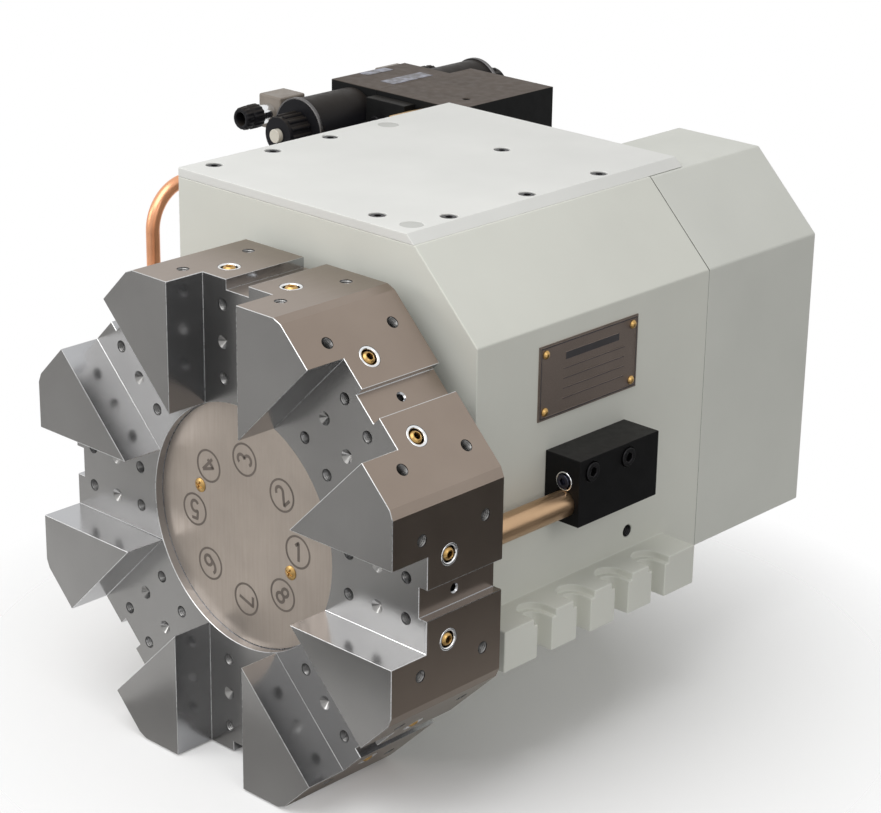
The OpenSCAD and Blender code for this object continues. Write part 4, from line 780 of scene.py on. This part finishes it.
# %% [markdown]
# Cable glands
#
# The black gland on each valve plug is a ribbed nut that squeezes a rubber collar on the cable. Its outline is
# a turned profile whose radius also ripples with the angle, which gives the finger ribs.

# %% Glands
gland_low, gland_high = np.array(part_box("plug_glands"))
gland_x = (gland_low[0] + gland_high[0]) / 2
gland_z = (gland_low[2] + gland_high[2]) / 2
gland_r = (gland_high[0] - gland_low[0]) / 2
GLAND_LEN = 19 * MM
RIBS = 8
RIPPLE = 0.035
# Radius and length as parts of the whole
gland_profile = closed(np.array([
    (0.80, 0), (0.97, 0.02), (1.0, 0.10), (1.0, 0.52), (0.86, 0.56), (0.86, 0.62), (0.98, 0.66),
    (0.94, 0.90), (0.80, 1.0), (0.58, 1.0), (0.55, 0.96), (0.55, 0.04), (0.60, 0)]))
ribbed = (gland_profile[:, 0] > 0.9)[:, None]
centre = np.array([gland_x, 0, gland_z])
glands = []
for start, way in ((gland_low[1] + GLAND_LEN, -1), (gland_high[1] - GLAND_LEN, 1)):
    shape = turned(gland_profile * [gland_r, GLAND_LEN], [gland_x, start, gland_z], [0, way, 0], 96)
    spoke = (shape - centre) * [1, 0, 1]
    angle = np.arctan2(spoke[..., 2], spoke[..., 0])
    ripple = np.where(ribbed, 1 - RIPPLE * (1 + np.cos(2 * RIBS * angle)), 1.0)
    glands.append(shape * [0, 1, 0] + centre + spoke * ripple[..., None])
gland_nuts = piece_from_grids("gland_nuts", glands, FINISHES["coil_plastic"], "housing", wrap=True)
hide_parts("plug_glands")
print("cable glands:", len(glands))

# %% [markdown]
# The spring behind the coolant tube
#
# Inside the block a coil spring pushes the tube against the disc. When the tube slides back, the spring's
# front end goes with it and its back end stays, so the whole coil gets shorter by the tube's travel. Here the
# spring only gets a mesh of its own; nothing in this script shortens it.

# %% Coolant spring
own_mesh(nodes["coolant_spring"])

# %% [markdown]
# Small trim
#
# A few thin pieces finish the picture: a pale washer around the screw over the coolant tube, grey steel rims
# on the coil ends, a thread in the hole low on the side, black as painted shade, and two blank stickers on the
# valve. The round ones are turned profiles, and a sticker is a grid with its rim bent down and a second grid
# under it.

# %% Washer, rims and side thread
screw_mid = np.mean(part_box("guide_screw"), axis=0)
block_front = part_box("coolant_block")[0][1]
washer_profile = np.array([(5.6, -0.3), (5.65, 0.45), (6.5, 0.5), (6.75, 0.2), (6.75, -0.3)]) * MM
washer_seat = [screw_mid[0], block_front, screw_mid[2]]
washer_ring = turned(closed(washer_profile[::-1]), washer_seat, [0, -1, 0], 48)
screw_washer = piece_from_grids("screw_washer", [washer_ring], FINISHES["bright_steel"], "housing", wrap=True)

coil_front, coil_back = (corner[1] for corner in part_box("valve_coils"))
coil_axis = np.mean(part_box("front_button"), axis=0)
RIM_R = 26.25
rim_profile = np.array([(RIM_R - 1.2, -0.12), (RIM_R + 0.1, -0.12), (RIM_R + 0.15, 0.2),
                        (RIM_R + 0.15, 2.9), (RIM_R - 0.6, 3.1)]) * MM
rim_rings = [turned(closed(rim_profile), [coil_axis[0], y, coil_axis[2]], [0, way, 0], 64)
             for y, way in ((coil_front, 1), (coil_back, -1))]
rim_steel = metal("rim_steel", (0.15, 0.145, 0.145), 0.45)
coil_rims = piece_from_grids("coil_rims", rim_rings, rim_steel, "housing", wrap=True)

SIDE_HOLE = [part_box("nameplate")[0][0], 60.5 * MM, 43 * MM]
side_wall = turned(tapped, SIDE_HOLE, [1, 0, 0], 24)
# The side thread is black as painted shade of the hole's inside.
side_thread_painted_shade = piece_from_grids("side_thread_painted_shade", [side_wall], FINISHES["black_screws"], "housing", wrap=True,
                               smooth=False)
print("ring grids:", washer_ring.shape[:2], rim_rings[0].shape[:2], side_wall.shape[:2])


# %% Stickers
def sticker(x, y, z, wide, long):
    """A thin pad: a grid whose outer ring drops to the face below, and a flat grid under it."""
    u = np.array([-1, -1, -0.97, 0.97, 1, 1.0])
    height = np.array([0, 0.25, 0.3, 0.3, 0.25, 0]) * MM
    gx, gy = np.meshgrid(x + u * wide / 2, y + u * long / 2)
    top = np.stack([gx, gy, z + np.minimum.outer(height, height)], axis=-1)
    under = top[1:-1, 1:-1].copy()
    under[..., 2] = z
    return [top, under[::-1]]


# Place on the valve's top, and width and length
STICKERS = ((-290, 233, 10, 30), (-256, 234, 15, 46))
STICKER_DARK, STICKER_PALE = (0.060, 0.055, 0.060), (0.25, 0.26, 0.33)
label_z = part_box("valve_body")[1][2]
pads = []
for x, y, wide, long in np.array(STICKERS) * MM:
    pads += sticker(x, y, label_z, wide, long)
label_finish = Finish("blank_sticker", STICKER_PALE, 0.0, 0.35)
smudges = label_finish.ramp(label_finish.noise(160, 2), [(0.38, STICKER_DARK), (0.66, STICKER_PALE)])
label_finish.link(smudges, label_finish.shader.inputs["Base Color"])
valve_stickers = piece_from_grids("valve_stickers", pads, label_finish.material, "housing", smooth=False)
print("stickers:", len(STICKERS))

# %% [markdown]
# Painted shade in the cover seam
#
# The motor's hood meets the housing in a groove that their two rounded edges leave. A dark band in that groove,
# just under the paint, is painted shade: it stands in for the shadow in the seam. It is a narrow band carried
# round the hood's outline: the four corners of its section are the rows of a grid, the corners of the hood are
# the columns, and a last column at each end draws the section together to close it.

# %% Seam shade
cover_low, cover_high = np.array(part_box("rear_cover"))
SHOULDER_Z = 217.2 * MM
SEAM_SHADE_DEPTHS = (0.12 * MM, 1.8 * MM)
SEAM_SHADE_HALF = 0.3 * MM


def cover_outline(inset):
    """The hood's corners (x, z) from its top edge round to its bottom one, moved inwards: a rectangle whose
    upper right corner is cut at 45 degrees, where x + z is constant."""
    left, right = cover_low[0] + inset, cover_high[0] - inset
    bottom, top = cover_low[2] + inset, cover_high[2] - inset
    slope = cover_high[0] + SHOULDER_Z - inset * np.sqrt(2)
    return [(left, top), (slope - top, top), (right, slope - right), (right, bottom), (left, bottom)]


outer, inner = SEAM_SHADE_DEPTHS
band = np.array([[(x, cover_low[1] + side * SEAM_SHADE_HALF, z) for x, z in cover_outline(depth)]
                 for depth, side in ((outer, -1), (outer, 1), (inner, 1), (inner, -1), (outer, -1))])
ends = band[:-1, [0, -1]].mean(axis=0, keepdims=True).repeat(len(band), axis=0)
band = np.concatenate([ends[:, :1], band, ends[:, 1:]], axis=1)
# The band's dark grey is painted shade in the seam.
seam_shade_grey = moulded("seam_shade_grey", (0.10, 0.10, 0.085), 0.8)
seam_painted_shade = piece_from_grids("seam_painted_shade", [band], seam_shade_grey, "housing", smooth=False)
print("gasket grid:", band.shape[:2])

# %% [markdown]
# Camera, floor and light
#
# The camera stands where the photographer stood: its place and turn were solved from the straight edges in
# the picture. The light is a soft lamp overhead and a little in front, two weaker ones at the sides, and an
# even sky. The sky is white to the camera and in reflections, and softer as a light, so the paint keeps its
# colour. Polished steel looks like whatever stands around it, so dark cards give it a workshop to reflect.
# They are hidden from the camera and from soft light. The floor fades out into the white sky.

# %% Camera
CAMERA_PLACE = (1.11165, -1.18396, 0.73231)
CAMERA_RIGHT = np.array([0.726936, 0.686546, 0.014815])
CAMERA_FORWARD = np.array([-0.63826, 0.68343, -0.35433])
LENS, SENSOR = 100.48, 36
NEAREST = 0.05
CAMERA_FORWARD /= np.linalg.norm(CAMERA_FORWARD)
CAMERA_RIGHT -= CAMERA_FORWARD * (CAMERA_RIGHT @ CAMERA_FORWARD)
CAMERA_RIGHT /= np.linalg.norm(CAMERA_RIGHT)
CAMERA_UP = np.cross(CAMERA_RIGHT, CAMERA_FORWARD)

camera_data = bpy.data.cameras.new("camera")
camera_data.sensor_width = SENSOR
camera_data.lens = LENS
camera_data.clip_start = NEAREST
camera = bpy.data.objects.new("camera", camera_data)
turn = np.eye(4)
turn[:3, 0], turn[:3, 1], turn[:3, 2] = CAMERA_RIGHT, CAMERA_UP, -CAMERA_FORWARD
turn[:3, 3] = CAMERA_PLACE
camera.matrix_world = Matrix(turn.tolist())
bpy.context.scene.collection.objects.link(camera)
bpy.context.scene.camera = camera
print("camera distance:", round(float(np.linalg.norm(CAMERA_PLACE)), 3))


# %% Light
MIDDLE = Vector((0, 0, 0.12))
SQUARE = ((-1, -1), (1, -1), (1, 1), (-1, 1))


def soft_lamp(name, place, size, power):
    """A square lamp that faces the middle of the turret."""
    data = bpy.data.lights.new(name, "AREA")
    data.size = size
    data.energy = power
    lamp = bpy.data.objects.new(name, data)
    lamp.location = place
    lamp.rotation_mode = "QUATERNION"
    lamp.rotation_quaternion = (MIDDLE - Vector(place)).to_track_quat("-Z", "Y")
    bpy.context.scene.collection.objects.link(lamp)


def stage_sheet(name, corners, finish):
    """A flat sheet of four corners that belongs to the stage and not to the turret."""
    mesh = bpy.data.meshes.new(name)
    mesh.from_pydata(corners, [], [(0, 1, 2, 3)])
    mesh.materials.append(finish)
    sheet = bpy.data.objects.new(name, mesh)
    bpy.context.scene.collection.objects.link(sheet)
    sheet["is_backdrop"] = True
    return sheet


def dark_card(name, centre, normal, size, shade):
    """A card, deep by wide, that only reflections see: centre +- u deep / 2 +- v wide / 2, with u level and v
    square to it and to the card's normal."""
    normal = np.array(normal) / np.linalg.norm(normal)
    u = np.cross([0, 0, 1], normal)
    u /= np.linalg.norm(u)
    v = np.cross(normal, u)
    u, v = u * size[0] / 2, v * size[1] / 2
    corners = [(np.array(centre) + a * u + b * v).tolist() for a, b in SQUARE]
    card = stage_sheet(name, corners, moulded(f"{name}_cloth", (shade, shade, shade), 0.9))
    card.visible_camera = card.visible_diffuse = card.visible_shadow = False


LAMPS = {  # place, size, power
    "overhead": ((0.0, -0.95, 1.65), 1.6, 21.0),
    "left_fill": ((-1.25, -1.6, 0.78), 0.7, 7.0),
    "right_fill": ((2.0, -0.5, 1.1), 0.9, 7.0),
}
CARDS = {  # centre, normal, size, shade
    "right_flag": ((1.19, 0.92, -0.49), (-0.638, -0.683, 0.354), (1.5, 1.5), 0.07),
    "front_flag": ((0.68, -1.00, -0.085), (0.05, 0, 1), (1.1, 1.1), 0.10),
    "middle_flag": ((0.00, -0.88, -0.080), (0.01, 0, 1), (1.04, 0.22), 0.24),
    "left_flag": ((-0.68, -0.98, -0.085), (0.05, 0, 1), (1.05, 1.02), 0.60),
    "under_flag": ((0.17, -0.02, -0.0915), (0.001, 0, 1), (0.56, 0.58), 0.10),
}
for name, lamp in LAMPS.items():
    soft_lamp(name, *lamp)
for name, card in CARDS.items():
    dark_card(name, *card)
print("lamps:", len(LAMPS), "cards:", len(CARDS))

# %% Sky
SKY_COLOR, SKY_LIGHT = (1, 0.99, 0.975, 1), 0.37
world = bpy.data.worlds.new("studio")
bpy.context.scene.world = world
world.use_nodes = True
tree = world.node_tree
sky = tree.nodes["Background"]
sky.inputs["Color"].default_value = SKY_COLOR
sky.inputs["Strength"].default_value = SKY_LIGHT
seen = tree.nodes.new("ShaderNodeBackground")
seen.inputs["Color"].default_value = (1, 1, 1, 1)
seen.inputs["Strength"].default_value = 1.0
rays = tree.nodes.new("ShaderNodeLightPath")
looks = rays.outputs["Is Camera Ray"]
for kind in ("Is Glossy Ray", "Is Transmission Ray"):
    either = tree.nodes.new("ShaderNodeMath")
    either.operation = "MAXIMUM"
    tree.links.new(looks, either.inputs[0])
    tree.links.new(rays.outputs[kind], either.inputs[1])
    looks = either.outputs[0]
choose = tree.nodes.new("ShaderNodeMixShader")
tree.links.new(looks, choose.inputs["Fac"])
tree.links.new(sky.outputs[0], choose.inputs[1])
tree.links.new(seen.outputs[0], choose.inputs[2])
tree.links.new(choose.outputs[0], tree.nodes["World Output"].inputs["Surface"])
print("light of the sky:", SKY_LIGHT)

# %% Floor
FLOOR_SIZE = 1.0
FLOOR_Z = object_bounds()[0][2] - 0.5 * MM
FADE_START, FADE_END = 0.16, 0.42
floor_finish = Finish("pale_floor", (0.93, 0.93, 0.93), 0.0, 0.9)
reach = floor_finish.add("ShaderNodeVectorMath", operation="LENGTH")
floor_finish.link(floor_finish.place, reach.inputs[0])
clear = floor_finish.add("ShaderNodeBsdfTransparent")
fade = floor_finish.add("ShaderNodeMixShader")
faded = floor_finish.spread(reach.outputs["Value"], 0, 1, FADE_START, FADE_END)
floor_finish.link(faded, fade.inputs["Fac"])
floor_finish.link(floor_finish.shader.outputs[0], fade.inputs[1])
floor_finish.link(clear.outputs[0], fade.inputs[2])
floor_finish.link(fade.outputs[0], floor_finish.tree.nodes["Material Output"].inputs["Surface"])
stage_sheet("floor", [(x * FLOOR_SIZE, y * FLOOR_SIZE, FLOOR_Z) for x, y in SQUARE], floor_finish.material)
print("floor height:", round(FLOOR_Z, 4))

# %% Finish
bpy.context.scene.view_settings.view_transform = "Standard"
